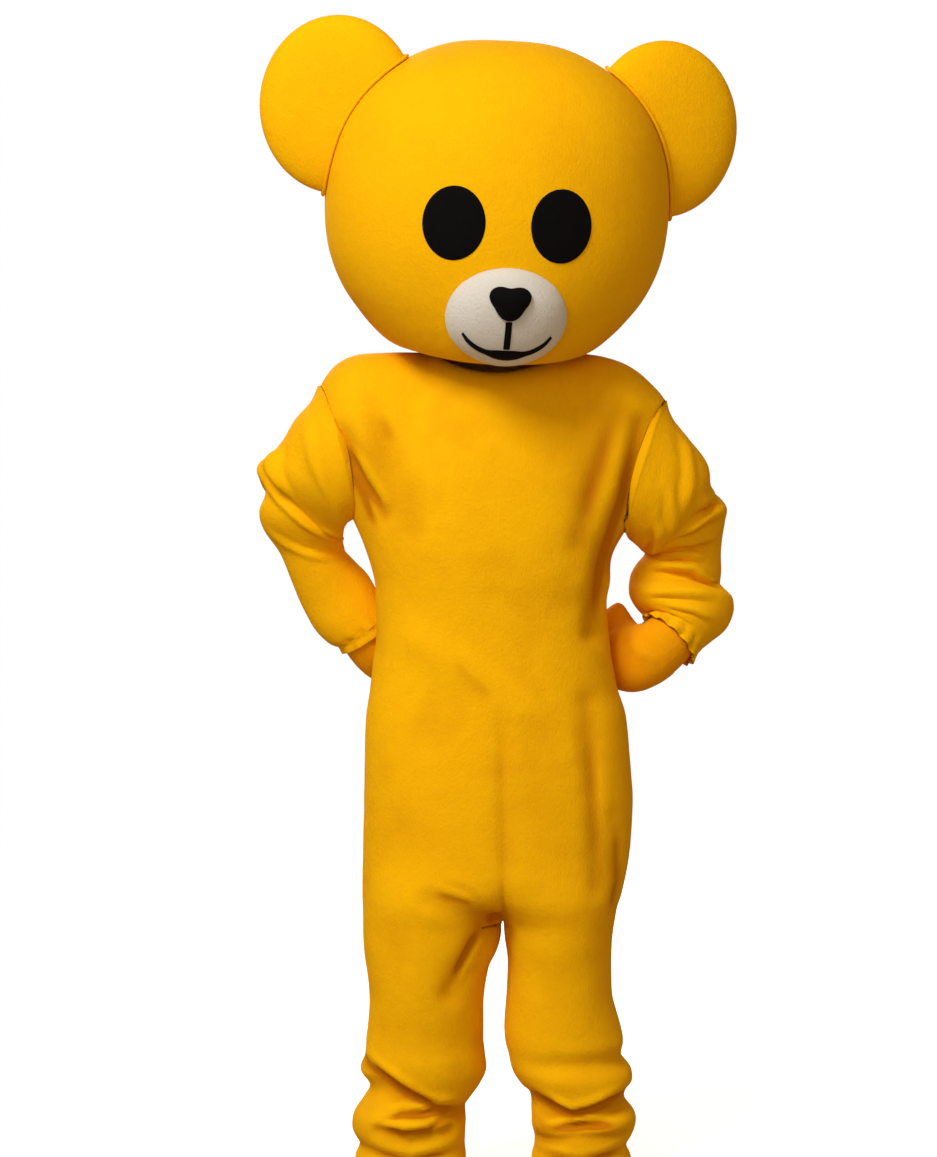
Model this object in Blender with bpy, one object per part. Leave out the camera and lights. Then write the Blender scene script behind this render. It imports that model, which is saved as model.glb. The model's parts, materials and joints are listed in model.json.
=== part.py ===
"""Bear mascot costume, worn pose with hands on hips, hollow and open as the real one.

A fleece jumpsuit of four long panels, two set-in sleeves with gathered ends, mitts, and a
foam-backed head of four panels with ears, welts, a puffed muzzle and felt features.
Metres, +Z up, the face looks along -Y. The origin is the middle of the neck at shoulder level,
where the wearer's shoulders hold the costume. The wearer's left is +X.
"""
import math

import bpy
from mathutils import Matrix, Vector

MM = 0.001
SUIT_WALL = 2.5 * MM
HEAD_WALL = 6 * MM
SEAM_INSET = 0.15 * MM          # each of two panels gives up half of the 0.3 mm seam gap
LAY_GAP = 0.35 * MM             # a piece that lies on another clears it by this much
RIGHT, LEFT = -1, 1             # the wearer's sides, also the sign of x
FRONT, BACK = -1, 1             # also the sign of y
SIDE_NAMES = {RIGHT: "right", LEFT: "left"}
FACE_NAMES = {FRONT: "front", BACK: "back"}

# Suit: heights and the way it is divided
CROTCH_Z = -0.802
CHEST_Z = -0.232                # the row that joins the two armpits
CROTCH_CURVE = 0.09             # height over which the rise turns under the crotch
SEAM_LEAN = 0.011               # the centre seam is this far over at the crotch
BODY_POWER, LEG_POWER = 2.3, 2.1
COLUMNS = 9                     # across one panel, centre seam to side seam
NECK_COLUMNS = 4                # of them, those that end at the neckline
YOKE_ROWS = 7                   # shoulder seam to armpit
NECK_HALF = 0.088
NECK_DEPTH = {FRONT: 0.085, BACK: 0.075}
NECK_DROP = {FRONT: -0.018, BACK: 0.004}
NECK_SIDE_Z = 0.010

# Each shoulder: tip and armpit of the armhole, and how late the shoulder line falls
SHOULDERS = {
    RIGHT: {"tip": (-0.2480, 0.0, -0.036), "pit": (-0.203, 0.0, -0.223), "fall": 7.0},
    LEFT: {"tip": (0.2400, 0.0, -0.056), "pit": (0.187, 0.0, -0.241), "fall": 3.1},
}
ARMHOLE_DEPTH = 0.078
ARMHOLE_HOLLOW = 0.012
PIT_BLEND = 0.13                # height over which the row of the armpits levels out
PIT_START = 0.3                 # share of a panel's width at which that row starts to tilt
ARMHOLE_START = 0.25            # share of a panel's width at which the yoke starts to turn to the armhole
FOLD_FACING, FOLD_EVEN = 1.4, 0.5           # a fold dies out where the cloth turns away from its side

# Torso sections: height, x at the right side, x at the left side, front depth, back depth
TORSO = (
    (-0.802, -0.1890, 0.1700, 0.112, 0.112),
    (-0.760, -0.1900, 0.1820, 0.124, 0.122),
    (-0.696, -0.1890, 0.1930, 0.129, 0.132),
    (-0.632, -0.1870, 0.1960, 0.130, 0.135),
    (-0.568, -0.1860, 0.1920, 0.129, 0.128),
    (-0.504, -0.1830, 0.1860, 0.125, 0.114),
    (-0.462, -0.1775, 0.1730, 0.122, 0.106),
    (-0.398, -0.1710, 0.1630, 0.120, 0.100),
    (-0.341, -0.1700, 0.1600, 0.122, 0.103),
    (-0.312, -0.1720, 0.1650, 0.125, 0.108),
    (-0.270, -0.1860, 0.1700, 0.127, 0.116),
    (-0.232, -0.2030, 0.1870, 0.127, 0.120),
)
# Leg sections: height, outer x, inner x, half depth
LEGS = {
    RIGHT: (
        (-1.185, -0.1900, -0.0480, 0.080),
        (-1.165, -0.1960, -0.0430, 0.086),
        (-1.143, -0.2010, -0.0410, 0.090),
        (-1.122, -0.1945, -0.0430, 0.083),
        (-1.100, -0.2050, -0.0420, 0.089),
        (-1.079, -0.2030, -0.0395, 0.092),
        (-1.058, -0.1900, -0.0370, 0.083),
        (-1.037, -0.1800, -0.0230, 0.080),
        (-1.015, -0.1955, -0.0125, 0.087),
        (-0.994, -0.1917, -0.0128, 0.090),
        (-0.973, -0.1860, -0.0156, 0.089),
        (-0.951, -0.1820, -0.0156, 0.090),
        (-0.909, -0.1800, -0.0156, 0.096),
        (-0.866, -0.1846, -0.0085, 0.102),
        (-0.845, -0.1874, 0.0014, 0.105),
        (-0.824, -0.1889, 0.0080, 0.109),
        (-0.802, -0.1890, 0.0110, 0.112),
    ),
    LEFT: (
        (-1.185, 0.1850, 0.0600, 0.080),
        (-1.165, 0.1910, 0.0540, 0.086),
        (-1.143, 0.1960, 0.0530, 0.090),
        (-1.122, 0.1890, 0.0570, 0.083),
        (-1.100, 0.2005, 0.0530, 0.089),
        (-1.079, 0.2015, 0.0530, 0.090),
        (-1.058, 0.1900, 0.0500, 0.083),
        (-1.037, 0.1970, 0.0390, 0.088),
        (-1.015, 0.1960, 0.0256, 0.090),
        (-0.994, 0.1818, 0.0185, 0.083),
        (-0.973, 0.1860, 0.0142, 0.089),
        (-0.951, 0.1800, 0.0128, 0.090),
        (-0.909, 0.1690, 0.0165, 0.095),
        (-0.866, 0.1660, 0.0185, 0.100),
        (-0.845, 0.1660, 0.0170, 0.104),
        (-0.824, 0.1676, 0.0140, 0.109),
        (-0.802, 0.1700, 0.0110, 0.112),
    ),
}
BODY_ROWS = (-0.268, -0.305, -0.345, -0.385, -0.425, -0.465, -0.510, -0.560, -0.615, -0.665)
CROTCH_STEPS = (0.0, 0.4, 0.67, 0.85, 0.96, 1.0)

# The largest folds: the side of the cloth, width, height (a trough is negative), and its line as x, z
FOLDS = {
    "right_armpit_drag": (FRONT, 0.020, -0.007, ((-0.217, -0.114), (-0.158, -0.213))),
    "right_chest_drag": (FRONT, 0.024, -0.005, ((-0.170, -0.062), (-0.148, -0.130), (-0.120, -0.230))),
    "left_armpit_drag": (FRONT, 0.018, -0.009,
                         ((0.206, -0.089), (0.186, -0.180), (0.153, -0.288), (0.138, -0.381))),
    "left_chest_drag": (FRONT, 0.022, -0.005, ((0.173, -0.065), (0.153, -0.116), (0.118, -0.253))),
    "waist_sag": (FRONT, 0.026, 0.005, ((-0.110, -0.392), (-0.040, -0.432), (0.030, -0.484))),
    "left_hip_flute": (FRONT, 0.018, -0.005, ((0.130, -0.480), (0.136, -0.600), (0.145, -0.735))),
    "left_thigh_flute": (FRONT, 0.014, -0.003, ((0.166, -0.640), (0.170, -0.720), (0.172, -0.775))),
    "centre_seam_pull": (FRONT, 0.018, -0.0025, ((0.010, -0.511), (0.011, -0.775))),
    "right_crotch_drag": (FRONT, 0.018, -0.008, ((-0.006, -0.792), (-0.030, -0.830), (-0.064, -0.8875))),
    "right_rise_drag": (FRONT, 0.016, -0.006, ((-0.092, -0.753), (-0.021, -0.778))),
    "right_shin_break": (FRONT, 0.012, -0.010,
                         ((-0.190, -1.005), (-0.1335, -1.039), (-0.087, -1.066), (-0.045, -1.072))),
    "right_shin_tuck": (FRONT, 0.009, -0.008, ((-0.168, -1.088), (-0.120, -1.102), (-0.060, -1.090))),
    "left_shin_break": (FRONT, 0.012, -0.010,
                        ((0.050, -1.048), (0.087, -1.068), (0.111, -1.078), (0.150, -1.067),
                         (0.195, -1.047))),
    "left_shin_tuck": (FRONT, 0.009, -0.007, ((0.060, -1.108), (0.110, -1.096), (0.190, -1.097))),
    "right_seat_drag": (BACK, 0.022, -0.008, ((-0.150, -0.690), (-0.070, -0.745), (-0.010, -0.770))),
    "left_seat_drag": (BACK, 0.022, -0.007, ((0.150, -0.700), (0.085, -0.748), (0.025, -0.775))),
    "small_of_back_right": (BACK, 0.024, -0.006, ((-0.150, -0.395), (-0.080, -0.430), (-0.020, -0.432))),
    "small_of_back_left": (BACK, 0.024, -0.006, ((0.140, -0.420), (0.080, -0.398), (0.020, -0.400))),
    "right_knee_back": (BACK, 0.014, -0.009, ((-0.185, -0.985), (-0.110, -1.010), (-0.030, -0.995))),
    "left_knee_back": (BACK, 0.014, -0.009, ((0.180, -0.975), (0.105, -1.002), (0.030, -0.990))),
    "right_blade_drag": (BACK, 0.022, -0.007, ((-0.195, -0.110), (-0.160, -0.200), (-0.135, -0.300))),
    "left_blade_drag": (BACK, 0.022, -0.007, ((0.190, -0.120), (0.155, -0.210), (0.130, -0.310))),
}

# Sleeve sections from the armhole to the wrist: outer x, outer z, inner x, inner z, middle y, half depth,
# and the degrees that the section leans where the arm goes back to the elbow and forward again
SLEEVES = {
    RIGHT: (
        (-0.2480, -0.0360, -0.2050, -0.2230, 0.000, 0.078, 0),
        (-0.2600, -0.0610, -0.2120, -0.2300, 0.004, 0.079, -4),
        (-0.2826, -0.0866, -0.2170, -0.2385, 0.012, 0.078, -7),
        (-0.3080, -0.1260, -0.2190, -0.2470, 0.024, 0.075, -10),
        (-0.3385, -0.1530, -0.2200, -0.2550, 0.037, 0.070, -12),
        (-0.3300, -0.1850, -0.2200, -0.2625, 0.050, 0.066, -10),
        (-0.3370, -0.2170, -0.2195, -0.2690, 0.061, 0.062, -7),
        (-0.3310, -0.2460, -0.2180, -0.2755, 0.070, 0.058, -4),
        (-0.3095, -0.2795, -0.2130, -0.2830, 0.076, 0.054, 0),
        (-0.2925, -0.3175, -0.2025, -0.2945, 0.080, 0.050, 4),
        (-0.2780, -0.3520, -0.1870, -0.3096, 0.082, 0.047, 8),
        (-0.2590, -0.3860, -0.1750, -0.3290, 0.081, 0.0450, 9),
        (-0.2400, -0.4055, -0.1648, -0.3497, 0.0813, 0.0430, 8),
        (-0.2262, -0.4103, -0.1568, -0.3637, 0.0830, 0.0418, 7),
    ),
    LEFT: (
        (0.2400, -0.0560, 0.1870, -0.2410, 0.000, 0.078, 0),
        (0.2485, -0.0820, 0.1900, -0.2460, 0.004, 0.080, -5),
        (0.2710, -0.1120, 0.1930, -0.2530, 0.012, 0.080, -10),
        (0.2970, -0.1450, 0.1980, -0.2580, 0.024, 0.078, -15),
        (0.3080, -0.1790, 0.2035, -0.2640, 0.038, 0.073, -15),
        (0.3300, -0.2090, 0.2105, -0.2710, 0.052, 0.070, -10),
        (0.3290, -0.2510, 0.2165, -0.2795, 0.060, 0.063, 0),
        (0.3255, -0.2950, 0.2055, -0.2940, 0.062, 0.064, 8),
        (0.3250, -0.3270, 0.1955, -0.3130, 0.058, 0.060, 12),
        (0.3390, -0.3460, 0.1950, -0.3320, 0.050, 0.064, 16),
        (0.3310, -0.3810, 0.2020, -0.3465, 0.040, 0.060, 18),
        (0.3080, -0.4020, 0.2150, -0.3560, 0.0310, 0.050, 20),
        (0.2960, -0.4110, 0.2280, -0.3570, 0.0260, 0.0430, 22),
        (0.2844, -0.4206, 0.2276, -0.3594, 0.0215, 0.0418, 22),
    ),
}
# The way each wrist points
WRIST_WAY = {RIGHT: Vector((0.55, 0.12, -0.82)), LEFT: Vector((-0.68, -0.37, -0.63))}
# Tucks and rolls of the sleeves: section number, width in sections, height, and the angle that they favour,
# 0 at the outer edge and 90 at the front
ROLLS = {
    RIGHT: ((5.0, 0.8, -0.006, 60), (7.5, 0.9, -0.005, 70)),
    LEFT: ((4.2, 0.8, -0.007, 60), (6.2, 0.9, -0.009, 80), (8.3, 0.7, -0.007, 75), (9.2, 0.7, 0.004, 60)),
}

# Cuffs: the gathered end past the elastic
CUFF_LENGTH = 14 * MM
CUFF_WALL = 2 * MM
CUFF_WAVES = 12
CUFF_RADIUS = 0.0420
# Share of the length, growth of the radius, height of the waves
CUFF_RINGS = {
    RIGHT: ((0.0, 0.0, 0.0004), (1.0, 0.0010, 0.0008)),
    LEFT: ((0.0, 0.0, 0.0006), (1.0, 0.0036, 0.0028)),
}

# Mitts: distances from the sleeve's end between which the wrist is a straight tube inside it and the cuff
MITT_WRIST = 0.0374
MITT_STARTS = (-6 * MM, 4 * MM, CUFF_LENGTH, CUFF_LENGTH + 2 * MM)
# Middle, half width and half thickness from past the cuff to the fingertips
MITTS = {
    RIGHT: (
        (-0.1676, 0.0920, -0.4170, 0.040, 0.035),
        (-0.1511, 0.1010, -0.4253, 0.043, 0.031),
        (-0.1350, 0.1090, -0.4274, 0.046, 0.029),
        (-0.1120, 0.1110, -0.4275, 0.048, 0.027),
        (-0.0900, 0.1145, -0.4270, 0.047, 0.024),
        (-0.0720, 0.1175, -0.4265, 0.041, 0.021),
        (-0.0540, 0.1190, -0.4260, 0.029, 0.015),
        (-0.0440, 0.1190, -0.4255, 0.013, 0.008),
    ),
    LEFT: (
        (0.2327, 0.0116, -0.4101, 0.039, 0.034),
        (0.2171, 0.0142, -0.4191, 0.042, 0.031),
        (0.2051, 0.0222, -0.4236, 0.045, 0.029),
        (0.1945, 0.0340, -0.4250, 0.047, 0.031),
        (0.1815, 0.0590, -0.4230, 0.049, 0.029),
        (0.1625, 0.0825, -0.4200, 0.050, 0.028),
        (0.1350, 0.1030, -0.4180, 0.050, 0.026),
        (0.1050, 0.1140, -0.4170, 0.045, 0.022),
        (0.0835, 0.1190, -0.4170, 0.032, 0.016),
        (0.0730, 0.1205, -0.4170, 0.014, 0.008),
    ),
}
MITT_SIDES = 14
THUMB_HEIGHT = 0.020            # the thumb swells out of the upper edge of the mitt
THUMB_PLACE = {RIGHT: 0.66, LEFT: 0.52}     # share of the mitt at which it is highest
THUMB_WIDTH = 0.085             # in shares of the mitt
THUMB_POWER = 6                 # the higher, the narrower the thumb is round the mitt
MITT_TIP = 4 * MM               # the fingertips close this far past the last section

# Closing strip down the middle of the back
PLACKET_HALF = 18 * MM
PLACKET_WALL = 2 * MM
PLACKET_LIFT = 1.4 * MM         # off the seam, so that it clears the flat facets on either side
PLACKET_END_Z = -0.55
PLACKET_SPOTS = ((RIGHT, 1.0), (RIGHT, 0.4), (LEFT, 0.4), (LEFT, 1.0))     # side and share of the half width

# Head: place of the middle of its lower rim, and its turn in degrees
HEAD_PLACE = Vector((-0.008, -0.004, 0.0158))
HEAD_YAW, HEAD_ROLL, HEAD_PITCH = 4.4, 2.5, 3.5
HEAD_POWER = 2.15
HEAD_COLUMNS = 9
RIM_SADDLE = 0.014              # the rim dips this far at the chin and the nape to sit round the neck
SADDLE_HEIGHT = 0.14
# Head sections from the crown to the neck opening: height, half width, front depth, back depth
HEAD = (
    (0.4300, 0.000, 0.000, 0.000),
    (0.4266, 0.058, 0.054, 0.054),
    (0.4170, 0.097, 0.093, 0.096),
    (0.3995, 0.136, 0.131, 0.135),
    (0.3755, 0.171, 0.165, 0.169),
    (0.3415, 0.202, 0.194, 0.199),
    (0.2985, 0.225, 0.216, 0.222),
    (0.2460, 0.238, 0.228, 0.234),
    (0.1880, 0.241, 0.232, 0.237),
    (0.1300, 0.233, 0.229, 0.230),
    (0.0820, 0.213, 0.218, 0.213),
    (0.0440, 0.185, 0.201, 0.188),
    (0.0180, 0.160, 0.182, 0.161),
    (0.0040, 0.141, 0.164, 0.141),
    (0.0000, 0.126, 0.145, 0.128),
    (0.0010, 0.105, 0.120, 0.112),
)

# Ears: local to the head
EAR_PLACE = {RIGHT: Vector((-0.2295, -0.010, 0.330)), LEFT: Vector((0.2275, -0.010, 0.318))}
EAR_HALF = (0.111, 0.034, 0.123)
EAR_EDGE_POWER = 2.6            # above 2 the ear is a plate with a round edge, not an egg
EAR_SWEEP = 14                  # degrees that the outer edge is swept back
WELT_RADIUS = 2.6 * MM
WELT_POINTS = 32
WELT_HALVINGS = 24              # steps in the search for the line where the ear meets the head
WELT_DROP = 0.005               # the middle of the ear's foot is this far below the ear's own middle
WELT_REACH_Y, WELT_REACH_Z = 0.10, 0.16     # the foot is looked for as far as this on the head's side

# Face: local to the head, x and z of the middles and half sizes
EYE_PLACE = {RIGHT: (-0.0745, 0.1770), LEFT: (0.0695, 0.1790)}
EYE_HALF_X, EYE_HALF_Z = 0.0415, 0.0495
EYE_WALL = 2 * MM
MUZZLE_X, MUZZLE_Z, MUZZLE_HALF_X, MUZZLE_HALF_Z = 0.003, 0.057, 0.081, 0.064
MUZZLE_RISE = 0.036
MUZZLE_LIFT = 0.9 * MM          # off the head, so that its back clears the flat facets of the chin
NOSE_Z, NOSE_HALF_X, NOSE_HALF_Z, NOSE_RISE = 0.086, 0.0240, 0.0190, 0.009
NOSE_EDGE = 1.5 * MM
NOSE_POINTED, NOSE_NOTCH = 0.13, 0.10       # shares of its size: how three-cornered, how deep the upper dip
NOSE_LIFT = 0.75 * MM           # off the muzzle, so that its back clears the dome's flat facets
MUZZLE_EDGE = 1.2 * MM
MOUTH_WALL = 2.2 * MM
MOUTH_EDGE = 0.8                # share of the wall at the edges of a stroke
BAR_TOP, BAR_BOTTOM, BAR_HALF = 0.0630, 0.0300, 0.0040
SMILE_HALF = 0.053
SMILE_STEPS = 20
SMILE_SLOPE = 0.9               # lean of the stroke's cut at the corners
MOUTH_LIFT = 0.7 * MM           # off the muzzle, so that the strokes clear its flat facets
# Smile: share from the right corner to the left, height, half stroke
SMILE = ((-1.0, 0.0440, 0.0014), (-0.86, 0.0350, 0.0024), (-0.62, 0.0270, 0.0030), (-0.42, 0.0235, 0.0036),
         (-0.22, 0.0215, 0.0062), (0.0, 0.0205, 0.0070), (0.22, 0.0215, 0.0062), (0.42, 0.0235, 0.0036),
         (0.62, 0.0270, 0.0030), (0.86, 0.0350, 0.0024), (1.0, 0.0440, 0.0014))

# Finishes: colour, roughness
FLEECE = ((0.93, 0.45, 0.006), 0.9)
WHITE_PLUSH = ((0.80, 0.79, 0.74), 0.9)
BLACK_FELT = ((0.008, 0.007, 0.008), 0.8)


def between(rows, at):
    """The values of a table at a key, on a smooth curve. The table rises by its first column."""
    at = min(max(at, rows[0][0]), rows[-1][0])
    last = len(rows) - 2
    i = next((k for k in range(last) if at <= rows[k + 1][0]), last)
    span = rows[i + 1][0] - rows[i][0]
    t = (at - rows[i][0]) / span

    def slope(k, column):
        low, high = max(k - 1, 0), min(k + 1, len(rows) - 1)
        return (rows[high][column] - rows[low][column]) / (rows[high][0] - rows[low][0]) * span

    values = []
    for column in range(1, len(rows[0])):
        a, b = rows[i][column], rows[i + 1][column]
        leave, arrive = slope(i, column), slope(i + 1, column)
        values.append(a + leave * t + (3 * (b - a) - 2 * leave - arrive) * t ** 2
                      + (2 * (a - b) + leave + arrive) * t ** 3)
    return values


def with_keys(rows):
    """The same rows led by the distance along the line of their first three columns."""
    keyed, total = [(0.0, *rows[0])], 0.0
    for before, after in zip(rows, rows[1:]):
        total += (Vector(after[:3]) - Vector(before[:3])).length
        keyed.append((total, *after))
    return [(row[0] / total, *row[1:]) for row in keyed]


def ease(t):
    t = min(max(t, 0.0), 1.0)
    return t * t * (3 - 2 * t)


def power(value, exponent):
    return max(value, 0.0) ** exponent


class Cloth:
    """An open cloth surface. Points on a seam have one name for all the panels that meet there."""

    def __init__(self):
        self.found = {}
        self.faces = []

    def point(self, name, place):
        self.found.setdefault(name, []).append(Vector(place))
        return name

    def face(self, panel, corners, flip=False):
        corners = list(dict.fromkeys(corners))
        if len(corners) > 2:
            self.faces.append((panel, corners[::-1] if flip else corners))

    def settle(self):
        """Give each named point the mean of the places it was given."""
        self.places = {name: sum(found, Vector()) / len(found) for name, found in self.found.items()}
        self.read_normals()

    def read_normals(self):
        self.normals = {name: Vector() for name in self.places}
        for _, corners in self.faces:
            p = [self.places[name] for name in corners]
            area = sum(((p[k] - p[0]).cross(p[k + 1] - p[0]) for k in range(1, len(p) - 1)), Vector())
            for name in corners:
                self.normals[name] += area
        for normal in self.normals.values():
            normal.normalize()

    def push(self, height):
        """Raise or sink every point along its normal by height(place, normal)."""
        for name, place in self.places.items():
            self.places[name] = place + self.normals[name] * height(place, self.normals[name])
        self.read_normals()

    def border(self, faces):
        edges = {(a, b) for corners in faces for a, b in zip(corners, corners[1:] + corners[:1])}
        return [(a, b) for a, b in edges if (b, a) not in edges]

    def solid(self, panel, wall, material, collection):
        """The closed wall of one panel: its outer points, inner points a wall deeper, and a rim."""
        faces = [corners for owner, corners in self.faces if owner == panel]
        rim = sorted(self.border(faces), key=str)
        inward = {}
        for a, b in rim:
            across = (self.normals[a] + self.normals[b]).cross(self.places[b] - self.places[a]).normalized()
            for name in (a, b):
                inward[name] = inward.get(name, Vector()) + across
        names = list(dict.fromkeys(name for corners in faces for name in corners))
        outer, inner = [], []
        for name in names:
            place = self.places[name].copy()
            if name in inward:
                lean = inward[name]
                place += lean * (2 * SEAM_INSET / max(lean.length_squared, 0.6))
            outer.append(place)
            inner.append(place - self.normals[name] * wall)
        index = {name: k for k, name in enumerate(names)}
        count = len(names)
        polygons = []
        for corners in faces:
            ids = [index[name] for name in corners]
            for k in range(1, len(ids) - 1):
                polygons.append((ids[0], ids[k], ids[k + 1]))
                polygons.append((ids[k + 1] + count, ids[k] + count, ids[0] + count))
        for a, b in rim:
            near, far = index[a], index[b]
            if str(a) < str(b):
                polygons += [(far, near, far + count), (near, near + count, far + count)]
            else:
                polygons += [(far, near, near + count), (far, near + count, far + count)]
        return add_mesh(panel, outer + inner, polygons, material, collection)


def add_mesh(name, places, polygons, material, collection):
    mesh = bpy.data.meshes.new(name)
    mesh.from_pydata([tuple(place) for place in places], [], polygons)
    mesh.update()
    mesh.materials.append(material)
    mesh.shade_smooth()
    thing = bpy.data.objects.new(name, mesh)
    collection.objects.link(thing)
    return thing


def finish_material(name, finish):
    colour, roughness = finish
    material = bpy.data.materials.new(name)
    material.use_nodes = True
    shader = material.node_tree.nodes["Principled BSDF"]
    shader.inputs["Base Color"].default_value = (*colour, 1.0)
    shader.inputs["Roughness"].default_value = roughness
    shader.inputs["Metallic"].default_value = 0.0
    return material


# Suit surface

def seam_x(z):
    return SEAM_LEAN * min(max((CHEST_Z - z) / (CHEST_Z - CROTCH_Z), 0.0), 1.0)


def section_point(seam, outer, depth, split, exponent, face, u):
    """A point of a body section. split is 0 for a whole torso and 1 for a leg that closes at its inseam."""
    reach = (outer - seam) / (1 + split)
    start = math.pi - math.acos(split ** (exponent / 2))
    angle = start * (1 - u)
    cosine, sine = math.cos(angle), math.sin(angle)
    x = seam + split * reach + reach * math.copysign(power(abs(cosine), 2 / exponent), cosine)
    return x, face * depth * power(sine, 2 / exponent)


def body_point(side, face, u, z):
    """The suit's outer surface below the armpits."""
    if z >= CROTCH_Z:
        right, left, front, back = between(TORSO, z)
        outer = left if side == LEFT else right
        depth = front if face == FRONT else back
        split = 1 - min((z - CROTCH_Z) / CROTCH_CURVE, 1.0)
        exponent = BODY_POWER + (LEG_POWER - BODY_POWER) * split
        x, y = section_point(seam_x(z), outer, depth, split, exponent, face, u)
    else:
        outer, inner, depth = between(LEGS[side], z)
        x, y = section_point(inner, outer, depth, 1.0, LEG_POWER, face, u)
    lift = (SHOULDERS[side]["pit"][2] - CHEST_Z) * ease((u - PIT_START) / (1 - PIT_START))
    return Vector((x, y, z + lift * (1 - ease((CHEST_Z - z) / PIT_BLEND))))


def top_point(side, face, u):
    """The upper edge of a panel: half the neckline, then the shoulder seam out to the tip."""
    share = NECK_COLUMNS / COLUMNS
    if u <= share:
        angle = math.pi / 2 * u / share
        x = side * NECK_HALF * math.sin(angle)
        y = face * NECK_DEPTH[face] * math.cos(angle)
        z = NECK_SIDE_Z + (NECK_DROP[face] - NECK_SIDE_Z) * math.cos(angle) ** 2
        return Vector((x, y, z))
    t = (u - share) / (1 - share)
    tip = Vector(SHOULDERS[side]["tip"])
    x = side * NECK_HALF + (tip.x - side * NECK_HALF) * t
    z = NECK_SIDE_Z + (tip.z - NECK_SIDE_Z) * t ** SHOULDERS[side]["fall"]
    return Vector((x, 0.0, z))


def armhole_point(side, face, v):
    tip, pit = Vector(SHOULDERS[side]["tip"]), Vector(SHOULDERS[side]["pit"])
    turn = math.pi * v
    place = tip.lerp(pit, (1 - math.cos(turn)) / 2)
    place.x -= side * ARMHOLE_HOLLOW * math.sin(turn)
    place.y = face * ARMHOLE_DEPTH * math.sin(turn)
    return place


def yoke_point(side, face, u, v):
    """The suit's outer surface between the shoulder line and the armpit row."""
    turn = math.pi / 2 * v

    def sweep(share):
        top, bottom = top_point(side, face, share), body_point(side, face, share, CHEST_Z)
        return Vector((top.x + (bottom.x - top.x) * ease(v),
                       top.y + (bottom.y - top.y) * math.sin(turn),
                       top.z + (bottom.z - top.z) * (1 - math.cos(turn))))

    edge = armhole_point(side, face, v) - sweep(1.0)
    return sweep(u) + edge * ease((u - ARMHOLE_START) / (1 - ARMHOLE_START))


def fold_height(place, normal):
    """Sum of the large folds at a place on the suit."""
    flat = Vector((place.x, place.z))
    total = 0.0
    for face, width, height, line in FOLDS.values():
        facing = min(max(FOLD_EVEN + FOLD_FACING * normal.y * face, 0.0), 1.0)
        if facing == 0.0:
            continue
        nearest = min(distance_to(flat, Vector(a), Vector(b)) for a, b in zip(line, line[1:]))
        total += facing * height * math.exp(-(nearest / width) ** 2)
    return total


def distance_to(point, start, end):
    run = end - start
    share = min(max((point - start).dot(run) / run.length_squared, 0.0), 1.0)
    return (point - start - run * share).length


def suit_rows():
    """Every row of a panel below the armpit row, as heights."""
    crotch = [CROTCH_Z + CROTCH_CURVE * (1 - step) for step in CROTCH_STEPS]
    legs = [row[0] for row in reversed(LEGS[RIGHT])][1:]
    return list(BODY_ROWS) + crotch + legs


def panel_name(side, face):
    return f"{FACE_NAMES[face]}_{SIDE_NAMES[side]}"


def lay_panel(cloth, side, face):
    """Add one long panel, shoulder to hem, with its seam points named for all who share them."""
    heights = suit_rows()
    last_row = YOKE_ROWS + len(heights)
    crotch_row = YOKE_ROWS + heights.index(CROTCH_Z) + 1

    def name(i, j):
        if i == 0 and j == crotch_row:
            return "crotch"
        if i == 0:
            return ("centre", face, j) if j < crotch_row else ("inseam", side, j)
        if j == 0 and i >= NECK_COLUMNS:
            return ("shoulder", side, i)
        if i == COLUMNS:
            if j == YOKE_ROWS:
                return ("pit", side)
            return ("armhole", side, face, j) if j < YOKE_ROWS else ("side", side, j)
        return (side, face, i, j)

    def place(i, j):
        u = i / COLUMNS
        if j <= YOKE_ROWS:
            return yoke_point(side, face, u, j / YOKE_ROWS)
        return body_point(side, face, u, heights[j - YOKE_ROWS - 1])

    names = [[cloth.point(name(i, j), place(i, j)) for i in range(COLUMNS + 1)] for j in range(last_row + 1)]
    for above, below in zip(names, names[1:]):
        for i in range(COLUMNS):
            corners = (above[i], above[i + 1], below[i + 1], below[i])
            cloth.face(panel_name(side, face), corners, flip=side * face < 0)
    return names


# Sleeves

def roll_height(side, row, angle):
    total = 0.0
    for place, width, height, favoured in ROLLS[side]:
        facing = 0.5 + 0.5 * math.cos(angle - math.radians(favoured))
        total += height * facing ** 1.5 * math.exp(-((row - place) / width) ** 2)
    return total


def sleeve_point(side, row, angle):
    """The sleeve's outer surface. The row counts sections; the angle is 0 outside and 90 degrees in front."""
    rows = [(float(k), *section) for k, section in enumerate(SLEEVES[side])]
    outer_x, outer_z, inner_x, inner_z, y, depth, lean = between(rows, row)
    wide = Vector((outer_x - inner_x, 0.0, outer_z - inner_z))
    half = wide.length / 2
    wide.normalize()
    turned = Vector((-wide.z, 0.0, wide.x))
    lean = math.radians(lean)
    forward = Vector((0.0, -1.0, 0.0)) * math.cos(lean) + turned * math.sin(lean)
    middle = Vector(((outer_x + inner_x) / 2, y, (outer_z + inner_z) / 2))
    grow = roll_height(side, row, angle)
    place = middle + wide * math.cos(angle) * (half + grow) + forward * math.sin(angle) * (depth + grow)
    place.x -= side * ARMHOLE_HOLLOW * math.sin(angle) ** 2 * (1 - ease(row / 2))
    return place


def armhole_ring(side):
    """Names of the armhole's points, tip first, down the front and up the back."""
    front = [("armhole", side, FRONT, j) for j in range(1, YOKE_ROWS)]
    back = [("armhole", side, BACK, j) for j in range(YOKE_ROWS - 1, 0, -1)]
    return [("shoulder", side, COLUMNS)] + front + [("pit", side)] + back


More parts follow.
